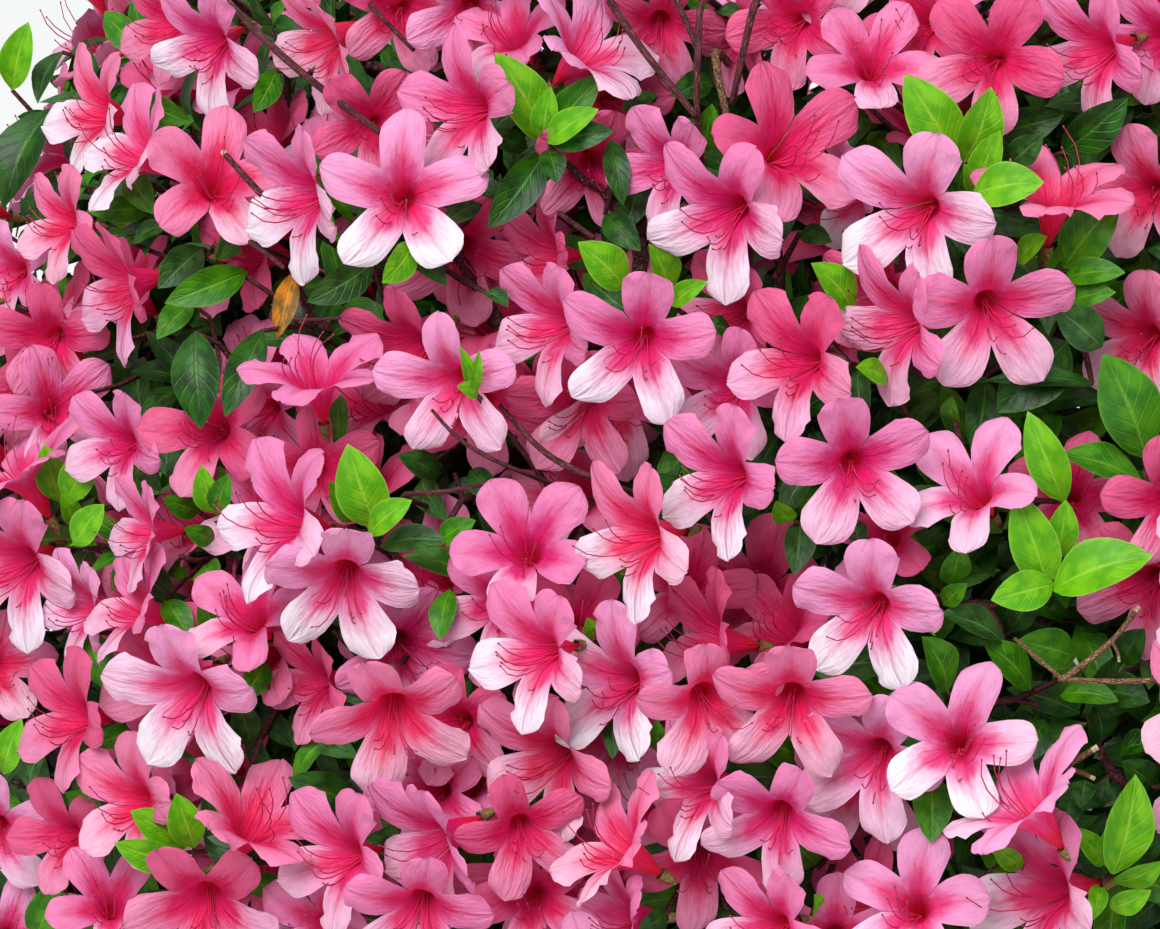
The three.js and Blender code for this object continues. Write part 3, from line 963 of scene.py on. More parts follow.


SEEN_BLOOMS = [
    # Top left
    Seen(222, 38, 76, 50, -45, -18, 8, True),
    Seen(178, 22, 64, 200, -54, -8, 18),
    Seen(112, 114, 74, 26, -60, 10, 4, True),
    Seen(152, 160, 80, 0, -65, 28, 6, True),
    Seen(213, 189, 82, 6, 5, 20, 6),
    Seen(321, 192, 88, 45, -58, -10, 4, True),
    Seen(404, 198, 88, 18, -2, 2, 0, True),
    Seen(482, 108, 84, 95, -44, -3, 0),
    Seen(339, 35, 76, 2, -58, -22, 6),
    Seen(400, 8, 70, 290, 0, -8, 14),
    Seen(470, 5, 70, 275, 0, -18, 12),
    Seen(372, 122, 60, 60, 0, -8, 20),
    Seen(76, 224, 62, 48, -55, 5, 12),
    Seen(140, 281, 80, 42, -66, -12, 8, True),
    Seen(20, 270, 60, 110, -34, -8, 12),
    # Top middle
    Seen(574, 62, 80, 18, 50, 40, 4),
    Seen(520, 45, 60, 100, -34, 40, 16),
    Seen(460, 245, 78, 350, 0, -20, 22),
    Seen(560, 255, 62, 200, -60, 2, 28),
    Seen(590, 160, 72, 290, 10, -18, 22),
    Seen(608, 98, 62, 0, 15, 2, 20),
    Seen(660, 20, 66, 290, 0, -23, 16),
    Seen(737, 207, 90, 54, -32, -15, 0, True),
    Seen(680, 165, 72, 190, -34, -8, 16),
    Seen(777, 156, 88, 36, 25, 18, 3),
    Seen(750, 30, 68, 190, -54, -8, 16),
    Seen(800, 20, 72, 260, -21, -8, 14),
    # Top right
    Seen(870, 72, 70, 60, 5, 30, 12),
    Seen(930, 25, 68, 260, -21, 2, 18),
    Seen(926, 207, 90, 0, -22, -10, 0, True),
    Seen(868, 190, 78, 210, -63, -13, 8, True),
    Seen(995, 59, 78, 275, -10, -3, 8),
    Seen(1110, 47, 82, 48, -45, -12, 8),
    Seen(1165, 35, 68, 190, -21, -8, 10),
    Seen(1052, 214, 86, 60, 16, 62, 4),
    Seen(1155, 190, 72, 100, -21, -8, 28),
    Seen(987, 303, 86, 21, 10, -20, 2),
    Seen(890, 290, 66, 160, -34, -8, 18),
    # Middle left
    Seen(54, 335, 68, 19, -18, -18, 6),
    Seen(42, 388, 58, 110, -28, -8, 14),
    Seen(52, 412, 68, 40, 10, 5, 4),
    Seen(131, 442, 66, 54, -42, -6, 6),
    Seen(219, 430, 74, 180, -25, 5, 18),
    Seen(302, 522, 92, 27, -54, 12, 0, True),
    Seen(346, 571, 88, 12, -8, -32, 3, True),
    Seen(318, 470, 66, 95, 0, 2, 14),
    Seen(320, 394, 80, 60, -14, 62, 6),
    Seen(272, 405, 60, 250, -34, -18, 20),
    Seen(425, 342, 88, 19, -44, -27, 15),
    Seen(31, 559, 86, 59, -40, -18, 4, True),
    Seen(33, 489, 82, 70, -68, 58, -4),
    Seen(160, 531, 64, 20, -68, 0, 8),
    Seen(98, 606, 58, 240, -62, -5, 12),
    Seen(150, 612, 70, 18, -64, 24, 8),
    Seen(257, 624, 72, -9, -30, 28, 12),
    # Middle
    Seen(642, 337, 86, 8, -8, -13, 0, True),
    Seen(568, 322, 80, -6, -54, -9, 8),
    Seen(545, 392, 70, 260, -40, -16, 30),
    Seen(461, 378, 80, 28, -25, -18, 5),
    Seen(483, 400, 72, 275, 0, -25, 14),
    Seen(529, 555, 80, 46, -12, 22, 2),
    Seen(657, 534, 90, 45, -50, -6, 0, True),
    Seen(740, 475, 86, 55, -44, -6, 0, True),
    Seen(612, 392, 84, 285, 5, -20, 18),
    Seen(585, 400, 76, 235, -21, -23, 26),
    Seen(745, 310, 66, 190, -47, -8, 22),
    Seen(740, 385, 72, 150, -21, -13, 20),
    Seen(690, 592, 74, 75, 0, 2, 16),
    Seen(505, 602, 68, 130, -21, -3, 12),
    # Middle right
    Seen(812, 360, 84, 44, -37, 0, 0, True),
    Seen(917, 320, 88, 34, -52, -11, 4),
    Seen(852, 462, 84, 29, 6, -12, 1),
    Seen(980, 499, 78, 65, -25, 28, 4),
    Seen(877, 604, 84, 14, -20, -18, 0, True),
    Seen(792, 634, 78, 60, -42, 28, 14),
    Seen(1172, 500, 60, 170, 0, -8, 12),
    Seen(1150, 335, 74, 150, -28, -8, 28),
    Seen(1072, 500, 56, 80, 0, 2, 28),
    Seen(1155, 578, 78, 200, -20, -20, 26),
    Seen(890, 540, 62, 100, -21, 20, 26),
    # Bottom left
    Seen(-8, 665, 62, 10, 10, -8, 8),
    Seen(88, 718, 76, 48, -55, 2, 5),
    Seen(200, 684, 92, 26, -33, -28, 0, True),
    Seen(147, 801, 76, 3, -47, -3, 8),
    Seen(75, 833, 62, 32, -40, -10, 18),
    Seen(-3, 826, 72, 21, -10, -17, 8),
    Seen(5, 935, 62, 70, 0, 2, 12),
    Seen(110, 910, 66, 125, 0, 20, 12),
    Seen(207, 893, 86, 50, -10, -30, 2, True),
    Seen(246, 836, 88, 9, 28, 42, 2),
    Seen(393, 702, 90, 46, 2, -38, 3),
    Seen(357, 853, 80, 46, -46, -5, 5),
    Seen(330, 925, 68, 150, -34, -8, 18),
    Seen(328, 680, 58, 190, -54, -8, 24),
    # Bottom middle
    Seen(400, 642, 78, 283, 12, -16, 10),
    Seen(553, 650, 82, 40, -44, -7, 0, True),
    Seen(575, 628, 72, 60, 0, 2, 18),
    Seen(728, 642, 82, 36, -64, 6, 6),
    Seen(632, 681, 88, 8, -40, -4, 0, True),
    Seen(702, 693, 80, 26, 18, -28, 1),
    Seen(463, 722, 68, 100, -21, -8, 26),
    Seen(566, 750, 88, 7, -45, -24, 4),
    Seen(620, 725, 82, 268, 0, -23, 20),
    Seen(715, 783, 80, 32, -50, -3, 6, True),
    Seen(452, 833, 86, 48, -60, -25, 8),
    Seen(440, 790, 70, 110, -21, -8, 20),
    Seen(520, 824, 70, 41, 8, -24, 12),
    Seen(422, 898, 78, 13, -12, -36, 4),
    Seen(535, 895, 70, 330, 0, -8, 20),
    Seen(634, 856, 84, 42, -62, 30, 2),
    Seen(638, 917, 76, 110, -64, 0, 4),
    Seen(700, 850, 78, 268, 0, -23, 18),
    # Bottom right
    Seen(792, 694, 84, 17, -5, -27, 3),
    Seen(781, 811, 80, 62, -16, -28, 4),
    Seen(780, 925, 78, 130, -34, -8, 6),
    Seen(880, 750, 84, 64, -20, -22, 4),
    Seen(960, 745, 86, 71, -6, 6, 0, True),
    Seen(917, 911, 80, 80, -10, 10, 8),
    Seen(880, 895, 72, 140, -40, -3, 14),
    Seen(835, 935, 68, 160, 0, -8, 8),
    Seen(1065, 888, 104, 39, -50, -6, 0, True),
    Seen(1040, 820, 92, 66, -58, 46, -14),
]


@dataclass(frozen=True)
class SeenLeaf:
    """A leaf in the photograph, from the pixel of its foot to that of its tip."""

    foot: tuple[float, float]
    tip: tuple[float, float]
    deep: float = 0.0  # millimetres behind the front of the blossom
    plump: float = 0.23  # half its width over its length


SEEN_LEAVES = {
    Green.YOUNG: [
        SeenLeaf((12, 90), (28, 22), 10),
        SeenLeaf((545, 142), (497, 52), 0),
        SeenLeaf((542, 140), (550, 88), -2),
        SeenLeaf((548, 143), (596, 108), -2),
        SeenLeaf((625, 288), (580, 242), 0, 0.3),
        SeenLeaf((668, 294), (650, 244), 9, 0.3),
        SeenLeaf((672, 305), (705, 281), 6),
        SeenLeaf((412, 243), (384, 283), -2, 0.3),
        SeenLeaf((958, 162), (906, 75), 0, 0.25),
        SeenLeaf((963, 162), (994, 90), 0, 0.28),
        SeenLeaf((975, 192), (1000, 130), 2, 0.22),
        SeenLeaf((972, 194), (1044, 182), -9, 0.3),
        SeenLeaf((975, 190), (965, 165), 0),
        SeenLeaf((1018, 262), (1046, 236), 4, 0.28),
        SeenLeaf((852, 312), (815, 262), 6, 0.3),
        SeenLeaf((60, 502), (44, 446), 0, 0.25),
        SeenLeaf((66, 502), (97, 446), 0, 0.26),
        SeenLeaf((74, 524), (60, 494), 0, 0.25),
        SeenLeaf((74, 546), (104, 504), -2, 0.28),
        SeenLeaf((70, 545), (95, 542), 0),
        SeenLeaf((376, 528), (347, 446), 0, 0.28),
        SeenLeaf((368, 534), (412, 500), -2, 0.25),
        SeenLeaf((352, 522), (331, 482), 2, 0.25),
        SeenLeaf((218, 514), (200, 467), 8, 0.25),
        SeenLeaf((470, 392), (463, 348), -7, 0.14),
        SeenLeaf((475, 392), (479, 350), -7, 0.1),
        SeenLeaf((478, 394), (459, 386), -8, 0.24),
        SeenLeaf((888, 380), (856, 367), 4, 0.3),
        SeenLeaf((790, 522), (776, 502), 6, 0.3),
        SeenLeaf((1064, 502), (1028, 413), 6, 0.2),
        SeenLeaf((1050, 590), (1016, 492), 2, 0.22),
        SeenLeaf((1052, 590), (1152, 554), -4, 0.27),
        SeenLeaf((1054, 584), (991, 600), -3, 0.28),
        SeenLeaf((1056, 560), (1066, 500), 3, 0.24),
        SeenLeaf((3, 774), (19, 720), 4, 0.25),
        SeenLeaf((194, 848), (176, 793), 0, 0.28),
        SeenLeaf((186, 848), (130, 811), 0, 0.26),
        SeenLeaf((176, 862), (116, 845), -2, 0.24),
        SeenLeaf((185, 850), (165, 885), 3, 0.26),
        SeenLeaf((1112, 874), (1138, 776), -3, 0.24),
        SeenLeaf((1102, 866), (1072, 828), 0, 0.22),
        SeenLeaf((1114, 882), (1164, 862), -2, 0.24),
        SeenLeaf((1110, 908), (1150, 892), -2, 0.24),
        SeenLeaf((1098, 885), (1094, 918), 2, 0.22),
        SeenLeaf((1108, 868), (1112, 822), 2, 0.2),
        SeenLeaf((1022, 868), (992, 846), 4, 0.22),
        SeenLeaf((594, 640), (588, 620), 14, 0.3),
        SeenLeaf((738, 928), (708, 934), 4, 0.25),
        SeenLeaf((826, 34), (830, 8), 8, 0.3),
        SeenLeaf((812, 916), (818, 896), 6, 0.3),
    ],
    Green.FRESH: [
        SeenLeaf((657, 750), (656, 720), 10, 0.2),
        SeenLeaf((954, 420), (952, 396), 6, 0.25),
        SeenLeaf((142, 98), (190, 122), 12, 0.26),
        SeenLeaf((128, 170), (153, 214), 12, 0.26),
        SeenLeaf((152, 208), (89, 211), 8, 0.2),
        SeenLeaf((247, 272), (166, 303), 14, 0.2),
        SeenLeaf((352, 222), (317, 176), 12, 0.16),
        SeenLeaf((545, 140), (600, 74), 6, 0.2),
        SeenLeaf((276, 70), (254, 112), 20, 0.25),
        SeenLeaf((702, 152), (712, 104), 14, 0.26),
        SeenLeaf((1063, 268), (1117, 201), 4, 0.27),
        SeenLeaf((1064, 278), (1124, 271), 4, 0.22),
        SeenLeaf((1066, 302), (1114, 291), 6, 0.22),
        SeenLeaf((192, 303), (157, 337), 14, 0.25),
        SeenLeaf((1146, 458), (1103, 353), 14, 0.28),
        SeenLeaf((1142, 484), (1060, 454), 16, 0.24),
        SeenLeaf((947, 692), (924, 636), 6, 0.34),
        SeenLeaf((930, 774), (931, 843), 8, 0.27),
        SeenLeaf((948, 584), (960, 545), 8, 0.3),
        SeenLeaf((943, 604), (967, 583), 8, 0.24),
        SeenLeaf((1076, 657), (1018, 640), 16, 0.3),
        SeenLeaf((1060, 695), (1117, 697), 14, 0.24),
        SeenLeaf((438, 542), (474, 520), 10, 0.25),
        SeenLeaf((84, 632), (110, 690), 14, 0.26),
        SeenLeaf((266, 662), (240, 702), 14, 0.25),
        SeenLeaf((134, 733), (88, 745), 12, 0.2),
        SeenLeaf((216, 512), (228, 474), 6, 0.25),
        SeenLeaf((200, 512), (163, 498), 14, 0.25),
        SeenLeaf((214, 540), (184, 528), 14, 0.25),
        SeenLeaf((1030, 690), (985, 640), 18, 0.28),
        SeenLeaf((165, 600), (190, 640), 14, 0.26),
        SeenLeaf((225, 640), (200, 600), 14, 0.26),
        SeenLeaf((450, 590), (440, 640), 16, 0.24),
        SeenLeaf((35, 940), (60, 880), 18, 0.26),
        SeenLeaf((700, 150), (690, 118), 16, 0.26),
    ],
    Green.DARK: [
        SeenLeaf((50, 110), (1, 207), 16, 0.24),
        SeenLeaf((56, 132), (18, 116), 14, 0.26),
        SeenLeaf((132, 243), (170, 222), 18, 0.24),
        SeenLeaf((216, 262), (244, 238), 20, 0.24),
        SeenLeaf((545, 152), (490, 228), 10, 0.2),
        SeenLeaf((550, 142), (614, 131), 6, 0.22),
        SeenLeaf((548, 150), (557, 182), 8, 0.3),
        SeenLeaf((527, 148), (486, 132), 10, 0.22),
        SeenLeaf((611, 140), (623, 203), 14, 0.18),
        SeenLeaf((656, 94), (622, 112), 18, 0.24),
        SeenLeaf((622, 98), (632, 60), 20, 0.24),
        SeenLeaf((712, 80), (670, 96), 20, 0.26),
        SeenLeaf((412, 260), (447, 284), 10, 0.24),
        SeenLeaf((196, 332), (200, 428), -3, 0.24),
        SeenLeaf((263, 330), (225, 417), -1, 0.18),
        SeenLeaf((1000, 132), (1062, 116), 20, 0.26),
        SeenLeaf((1062, 152), (1128, 98), 20, 0.24),
        SeenLeaf((1068, 342), (998, 412), 16, 0.3),
        SeenLeaf((1092, 384), (985, 378), 12, 0.09),
        SeenLeaf((900, 396), (990, 374), 12, 0.1),
        SeenLeaf((985, 380), (975, 450), 22, 0.24),
        SeenLeaf((352, 802), (290, 778), 16, 0.26),
        SeenLeaf((250, 745), (236, 698), 18, 0.26),
        SeenLeaf((680, 862), (694, 894), 18, 0.26),
        SeenLeaf((666, 914), (640, 932), 10, 0.26),
        SeenLeaf((1102, 690), (1150, 702), 22, 0.34),
        SeenLeaf((1100, 742), (1096, 704), 22, 0.34),
        SeenLeaf((1118, 752), (1156, 744), 20, 0.34),
        SeenLeaf((1122, 662), (1142, 630), 20, 0.34),
        SeenLeaf((1152, 786), (1124, 762), 20, 0.34),
        SeenLeaf((1045, 720), (1020, 765), 24, 0.28),
        SeenLeaf((715, 10), (740, 14), 20, 0.3),
        SeenLeaf((400, 560), (380, 600), 20, 0.26),
        SeenLeaf((440, 475), (400, 455), 24, 0.26),
        SeenLeaf((470, 470), (500, 500), 26, 0.26),
        SeenLeaf((800, 232), (830, 240), 24, 0.26),
        SeenLeaf((605, 215), (640, 250), 24, 0.26),
        SeenLeaf((640, 180), (625, 230), 26, 0.26),
    ],
    Green.BLUE: [
        SeenLeaf((62, 52), (34, 100), 12, 0.22),
        SeenLeaf((202, 248), (158, 288), 16, 0.27),
        SeenLeaf((374, 262), (308, 303), 8, 0.22),
        SeenLeaf((638, 118), (664, 136), 16, 0.24),
        SeenLeaf((480, 204), (444, 222), 12, 0.26),
        SeenLeaf((484, 292), (508, 306), 14, 0.26),
        SeenLeaf((116, 550), (177, 602), 10, 0.26),
        SeenLeaf((380, 546), (447, 540), 8, 0.24),
        SeenLeaf((1012, 162), (1042, 136), 10, 0.3),
        SeenLeaf((1102, 347), (1054, 306), 8, 0.3),
        SeenLeaf((800, 522), (795, 573), 14, 0.27),
        SeenLeaf((731, 332), (706, 324), 14, 0.28),
        SeenLeaf((612, 718), (613, 757), 16, 0.22),
        SeenLeaf((28, 790), (45, 744), 14, 0.22),
        SeenLeaf((1004, 642), (940, 613), 14, 0.24),
        SeenLeaf((1086, 780), (1080, 808), 20, 0.26),
        SeenLeaf((1070, 800), (1064, 832), 20, 0.26),
        SeenLeaf((1100, 802), (1106, 780), 20, 0.28),
        SeenLeaf((850, 520), (862, 550), 18, 0.26),
        SeenLeaf((150, 12), (142, -12), 14, 0.26),
        SeenLeaf((1045, 205), (1040, 180), 12, 0.26),
    ],
    Green.OLD: [SeenLeaf((293, 274), (277, 337), 14, 0.17)],
}


@dataclass(frozen=True)
class SeenTwig:
    """A bare twig in front of the blossom, by the pixels of its course, from its foot to its tip."""

    course: tuple[tuple[float, float], ...]
    thick: float  # pixels
    deep: float = -6.0  # millimetres behind the front of the blossom
    old: bool = False  # paler, older wood
    forked: bool = False  # its foot is on the twig before
    cut: bool = False  # whether its tip is a pale cut end
    foot_sinks: float = 0.0  # millimetres that its foot lies further back
    tip_sinks: float = 0.0  # millimetres that its tip lies further back


SEEN_TWIGS = [
    SeenTwig(((200, -26), (262, 38), (312, 82), (380, 132)), 9, -4, tip_sinks=8),
    SeenTwig(((266, 200), (250, 182), (224, 153)), 8, -8, cut=True, foot_sinks=9),
    SeenTwig(((350, -20), (378, 14), (414, 50)), 7, -2, tip_sinks=12),
    SeenTwig(((596, -20), (640, 48), (696, 116)), 9, -3),
    SeenTwig(((700, -20), (698, 50), (696, 112), (702, 168)), 8, -2, tip_sinks=18),
    SeenTwig(((760, -20), (748, 30), (732, 104)), 9, 0, tip_sinks=12),
    SeenTwig(((668, -20), (680, 8), (696, 44)), 8, 0),
    SeenTwig(((712, 40), (718, 76), (728, 122)), 10, 12, old=True, tip_sinks=10),
    SeenTwig(((385, 493), (450, 493), (512, 476)), 6, -2, tip_sinks=10),
    SeenTwig(((592, 478), (545, 456), (500, 406)), 8, 2, tip_sinks=12),
    SeenTwig(((494, 462), (456, 438), (432, 410)), 5, -4),
    SeenTwig(((240, 236), (262, 250), (284, 268)), 6, 8),
    SeenTwig(((282, 318), (310, 320), (340, 318)), 4, 4),
    SeenTwig(((520, 180), (560, 214), (594, 238)), 7, 20),
    SeenTwig(((1185, 680), (1110, 682), (1058, 679)), 7, 2, old=True),
    SeenTwig(((1062, 680), (1090, 660), (1116, 638), (1138, 608)), 7, 2, old=True, forked=True, cut=True),
    SeenTwig(((1112, 642), (1118, 652), (1119, 660)), 4, 2, old=True, forked=True, cut=True),
    SeenTwig(((1062, 679), (1040, 660), (1014, 638)), 5, 3, old=True, forked=True),
    SeenTwig(((1036, 776), (1064, 768), (1096, 748)), 8, -2, old=True, cut=True),
    SeenTwig(((1066, 767), (1080, 772), (1093, 778)), 6, -2, old=True, forked=True, cut=True),
    SeenTwig(((1062, 769), (1068, 762), (1071, 754)), 5, -2, old=True, forked=True, cut=True),
    SeenTwig(((1000, 866), (980, 876), (962, 886)), 4, 4),
]


# The place the photograph was taken from


@dataclass(frozen=True)
class ViewPoint:
    """The camera, and how the photograph's pixels fall on the crown."""

    lift: float = 30.0  # degrees that it stands above level
    distance: float = 1.1
    span: float = 0.29  # width of the picture at the aim
    aim_turn: float = -119.0  # compass turn of the spot looked at
    aim_slope: float = 44.0
    sensor: float = 36.0  # millimetres

    @property
    def back(self) -> np.ndarray:
        """Unit vector from the aim to the camera."""
        return direction(-90.0, self.lift)

    @property
    def right(self) -> np.ndarray:
        """The picture's right."""
        return np.array([1.0, 0.0, 0.0])

    @property
    def up(self) -> np.ndarray:
        """The picture's up."""
        return np.cross(self.back, self.right)

    def aim(self, crown: "Crown") -> np.ndarray:
        """The spot on the crown that the camera looks at."""
        return crown.skin_along(direction(self.aim_turn, self.aim_slope))

    def eye(self, crown: "Crown") -> np.ndarray:
        """The camera's place."""
        return self.aim(crown) + self.back * self.distance

    def ray(self, across: np.ndarray, down: np.ndarray) -> np.ndarray:
        """Unit directions from the camera through pixels."""
        x = (np.asarray(across, float) - PICTURE[0] / 2) / PICTURE[0] * self.span
        y = (PICTURE[1] / 2 - np.asarray(down, float)) / PICTURE[0] * self.span
        line = x[..., None] * self.right + y[..., None] * self.up - self.back * self.distance
        return unit(line)

    def pixel(self, crown: "Crown", points: np.ndarray) -> tuple[np.ndarray, np.ndarray]:
        """Where points show in the picture.

        Args:
            crown: The crown, which sets the camera's place.
            points: (n, 3) places.

        Returns:
            Pixels across and pixels down.
        """
        away = points - self.eye(crown)
        scale = self.distance / -(away @ self.back) * PICTURE[0] / self.span
        return PICTURE[0] / 2 + away @ self.right * scale, PICTURE[1] / 2 - away @ self.up * scale

    def inside(self, crown: "Crown", places: np.ndarray, margin: float) -> np.ndarray:
        """Whether places fall in the picture or less than a margin of pixels outside it."""
        across, down = self.pixel(crown, places)
        level = (across > -margin) & (across < PICTURE[0] + margin)
        return level & (down > -margin) & (down < PICTURE[1] + margin)

    def build(self, crown: "Crown") -> None:
        """Makes the camera and gives it to the scene."""
        data = bpy.data.cameras.new("photo_view")
        data.sensor_width = self.sensor
        data.lens = self.sensor * self.distance / self.span
        camera = placed("photo_view", data)
        camera.location = Vector(self.eye(crown))
        camera.rotation_euler = Vector(self.back).to_track_quat("Z", "Y").to_euler()
        bpy.context.scene.camera = camera


# The crown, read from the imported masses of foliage


class Crown:
    """Outer skin of the foliage masses and an even shell through them."""

    SLIMMED = 0.985  # width of the even shell over that of the masses
    LOWERED = 0.004  # metres from the top of the masses down to the shell's
    CLEAR_OF_SKIN = 0.003  # how far off the skin the search for what covers it starts
    LOOK_OUT = 0.5  # and how far it goes
    LEAST_OUTWARD = 0.12  # how squarely a face has to look away from the core
    LOWEST_LOOK = -0.85  # how far down it may look

    def __init__(self) -> None:
        """Reads the masses from the frame."""
        self.masses = {n: o for n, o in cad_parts.items() if n.startswith("foliage_")}
        points, faces = [], []
        start = 0
        for thing in self.masses.values():
            mesh = thing.data
            mesh.calc_loop_triangles()
            tri = np.empty(len(mesh.loop_triangles) * 3, int)
            mesh.loop_triangles.foreach_get("vertices", tri)
            points.append(mesh_points(mesh))
            faces.append(tri.reshape(-1, 3) + start)
            start += len(mesh.vertices)
        self.points, self.faces = np.concatenate(points), np.concatenate(faces)
        self.centres = np.array([p.mean(axis=0) for p in points])
        self.tree = BVHTree.FromPolygons(self.points.tolist(), self.faces.tolist())
        low, high = self.points.min(axis=0), self.points.max(axis=0)
        self.axes = np.array([*(high - low)[:2] / 2 * self.SLIMMED, high[2] - CORE[2] - self.LOWERED])

    def skin_along(self, way: np.ndarray) -> np.ndarray:
        """Points of the even shell in directions from the core."""
        return CORE + way / np.linalg.norm(way / self.axes, axis=-1, keepdims=True)

    def outward(self, points: np.ndarray) -> np.ndarray:
        """Directions square to the even shell at points near it."""
        return unit((points - CORE) / self.axes**2)

    def meet(self, eye: np.ndarray, rays: np.ndarray) -> np.ndarray:
        """Distance along rays to the even shell, or to where they pass nearest."""
        o, d = (eye - CORE) / self.axes, rays / self.axes
        a, b, c = (d * d).sum(-1), (d @ o), o @ o - 1
        root = b * b - a * c
        return (-b - np.sqrt(np.maximum(root, 0))) / a

    def exposed(self, points: np.ndarray, normals: np.ndarray) -> np.ndarray:
        """Whether nothing of the crown covers each point, looking outwards."""
        ways = unit(self.outward(points) + normals)
        free = []
        for place, way, normal in zip(points, ways, normals, strict=True):
            start = Vector(place + normal * self.CLEAR_OF_SKIN)
            hit = self.tree.ray_cast(start, Vector(way), self.LOOK_OUT)
            free.append(hit[0] is None)
        return np.array(free)

    def sample(self, rng: np.random.Generator, tries: int, spacing: float, taken: np.ndarray,
               clear: np.ndarray) -> tuple[np.ndarray, np.ndarray]:
        """Evenly scattered places on the outer skin.

        Args:
            rng: Source of the draws.
            tries: How many places are tried.
            spacing: Least distance between places.
            taken: (m, 3) places that are already in use.
            clear: (m,) distance to keep from each of those.

        Returns:
            The places and the skin's directions there.
        """
        a, b, c = (self.points[self.faces[:, i]] for i in range(3))
        cross = np.cross(b - a, c - a)
        area = np.linalg.norm(cross, axis=1)
        normal = cross / area[:, None]
        middle = (a + b + c) / 3
        away = unit(middle - CORE)
        outer = ((normal * away).sum(1) > self.LEAST_OUTWARD) & (normal[:, 2] > self.LOWEST_LOOK)
        weight = np.where(outer, area, 0)
        pick = rng.choice(len(area), tries, p=weight / weight.sum())
        s, t = rng.random(tries), rng.random(tries)
        over = s + t > 1
        s[over], t[over] = 1 - s[over], 1 - t[over]
        places = a[pick] + s[:, None] * (b - a)[pick] + t[:, None] * (c - a)[pick]
        free = self.exposed(places, normal[pick])
        places, normals = places[free], normal[pick][free]
        kept = np.empty((0, 3))
        chosen = []
        for i, place in enumerate(places):
            if len(kept) and (((kept - place) ** 2).sum(1) < spacing**2).any():
                continue
            if len(taken) and (((taken - place) ** 2).sum(1) < clear**2).any():
                continue
            kept = np.vstack([kept, place])
            chosen.append(i)
        return kept, normals[chosen]


# The blooms


BLOOM_SETBACK = 0.004  # the shell's depth at which the front blooms have their throats
SHADE_DEPTH = 14  # millimetres behind the front from which a bloom stands in shade and is painted in deeper pinks


@dataclass
class Blooms:
    """Every bloom: its throat, the ways it looks and starts, its size, and what it is like."""

    LOBE_RINGS = (0.009, 0.014, 0.019)  # metres from the axis at which a lobe's place is noted

    throat: np.ndarray
    look: np.ndarray
    start: np.ndarray  # the way that one lobe takes
    size: np.ndarray  # over the usual size
    detail: np.ndarray  # how finely it is cut, 0 to 2
    white: np.ndarray  # whether its lower lobes end near white, partly their own colour and partly painted light
    shaded: np.ndarray  # whether it stands in the shade of others, and is painted in deeper pinks as shade

    def __len__(self) -> int:
        """How many there are."""
        return len(self.throat)

    def foot(self, shape: Blossom) -> np.ndarray:
        """Foot of each bloom's tube."""
        return self.throat - self.look * (shape.throat_height * self.size)[:, None]

    def tube_spots(self, shape: Blossom) -> np.ndarray:
        """(n, 3, 3) places along each tube."""
        heights = np.array([0.3, 0.65, 1.0]) * shape.throat_height
        rises = heights[None] * self.size[:, None]
        return self.foot(shape)[:, None] + self.look[:, None] * rises[..., None]

    def lobe_spots(self, shape: Blossom) -> np.ndarray:
        """(n, 15, 3) places along each lobe."""
        axes = facing_frames(self.look, self.start) * self.size[:, None, None]
        turns = np.arange(5) * math.tau / 5
        circle = np.stack([np.cos(turns), np.sin(turns), 0 * turns], axis=1)
        rings = np.concatenate([circle * radius for radius in self.LOBE_RINGS])
        return self.throat[:, None] + np.einsum("nij,kj->nki", axes, rings)

    def where(self, pick: np.ndarray) -> "Blooms":
        """Some of them."""
        return Blooms(*(getattr(self, f.name)[pick] for f in fields(self)))

    def plus(self, other: "Blooms") -> "Blooms":
        """These and others together."""
        pairs = ((getattr(self, f.name), getattr(other, f.name)) for f in fields(self))
        return Blooms(*(np.concatenate(pair) for pair in pairs))


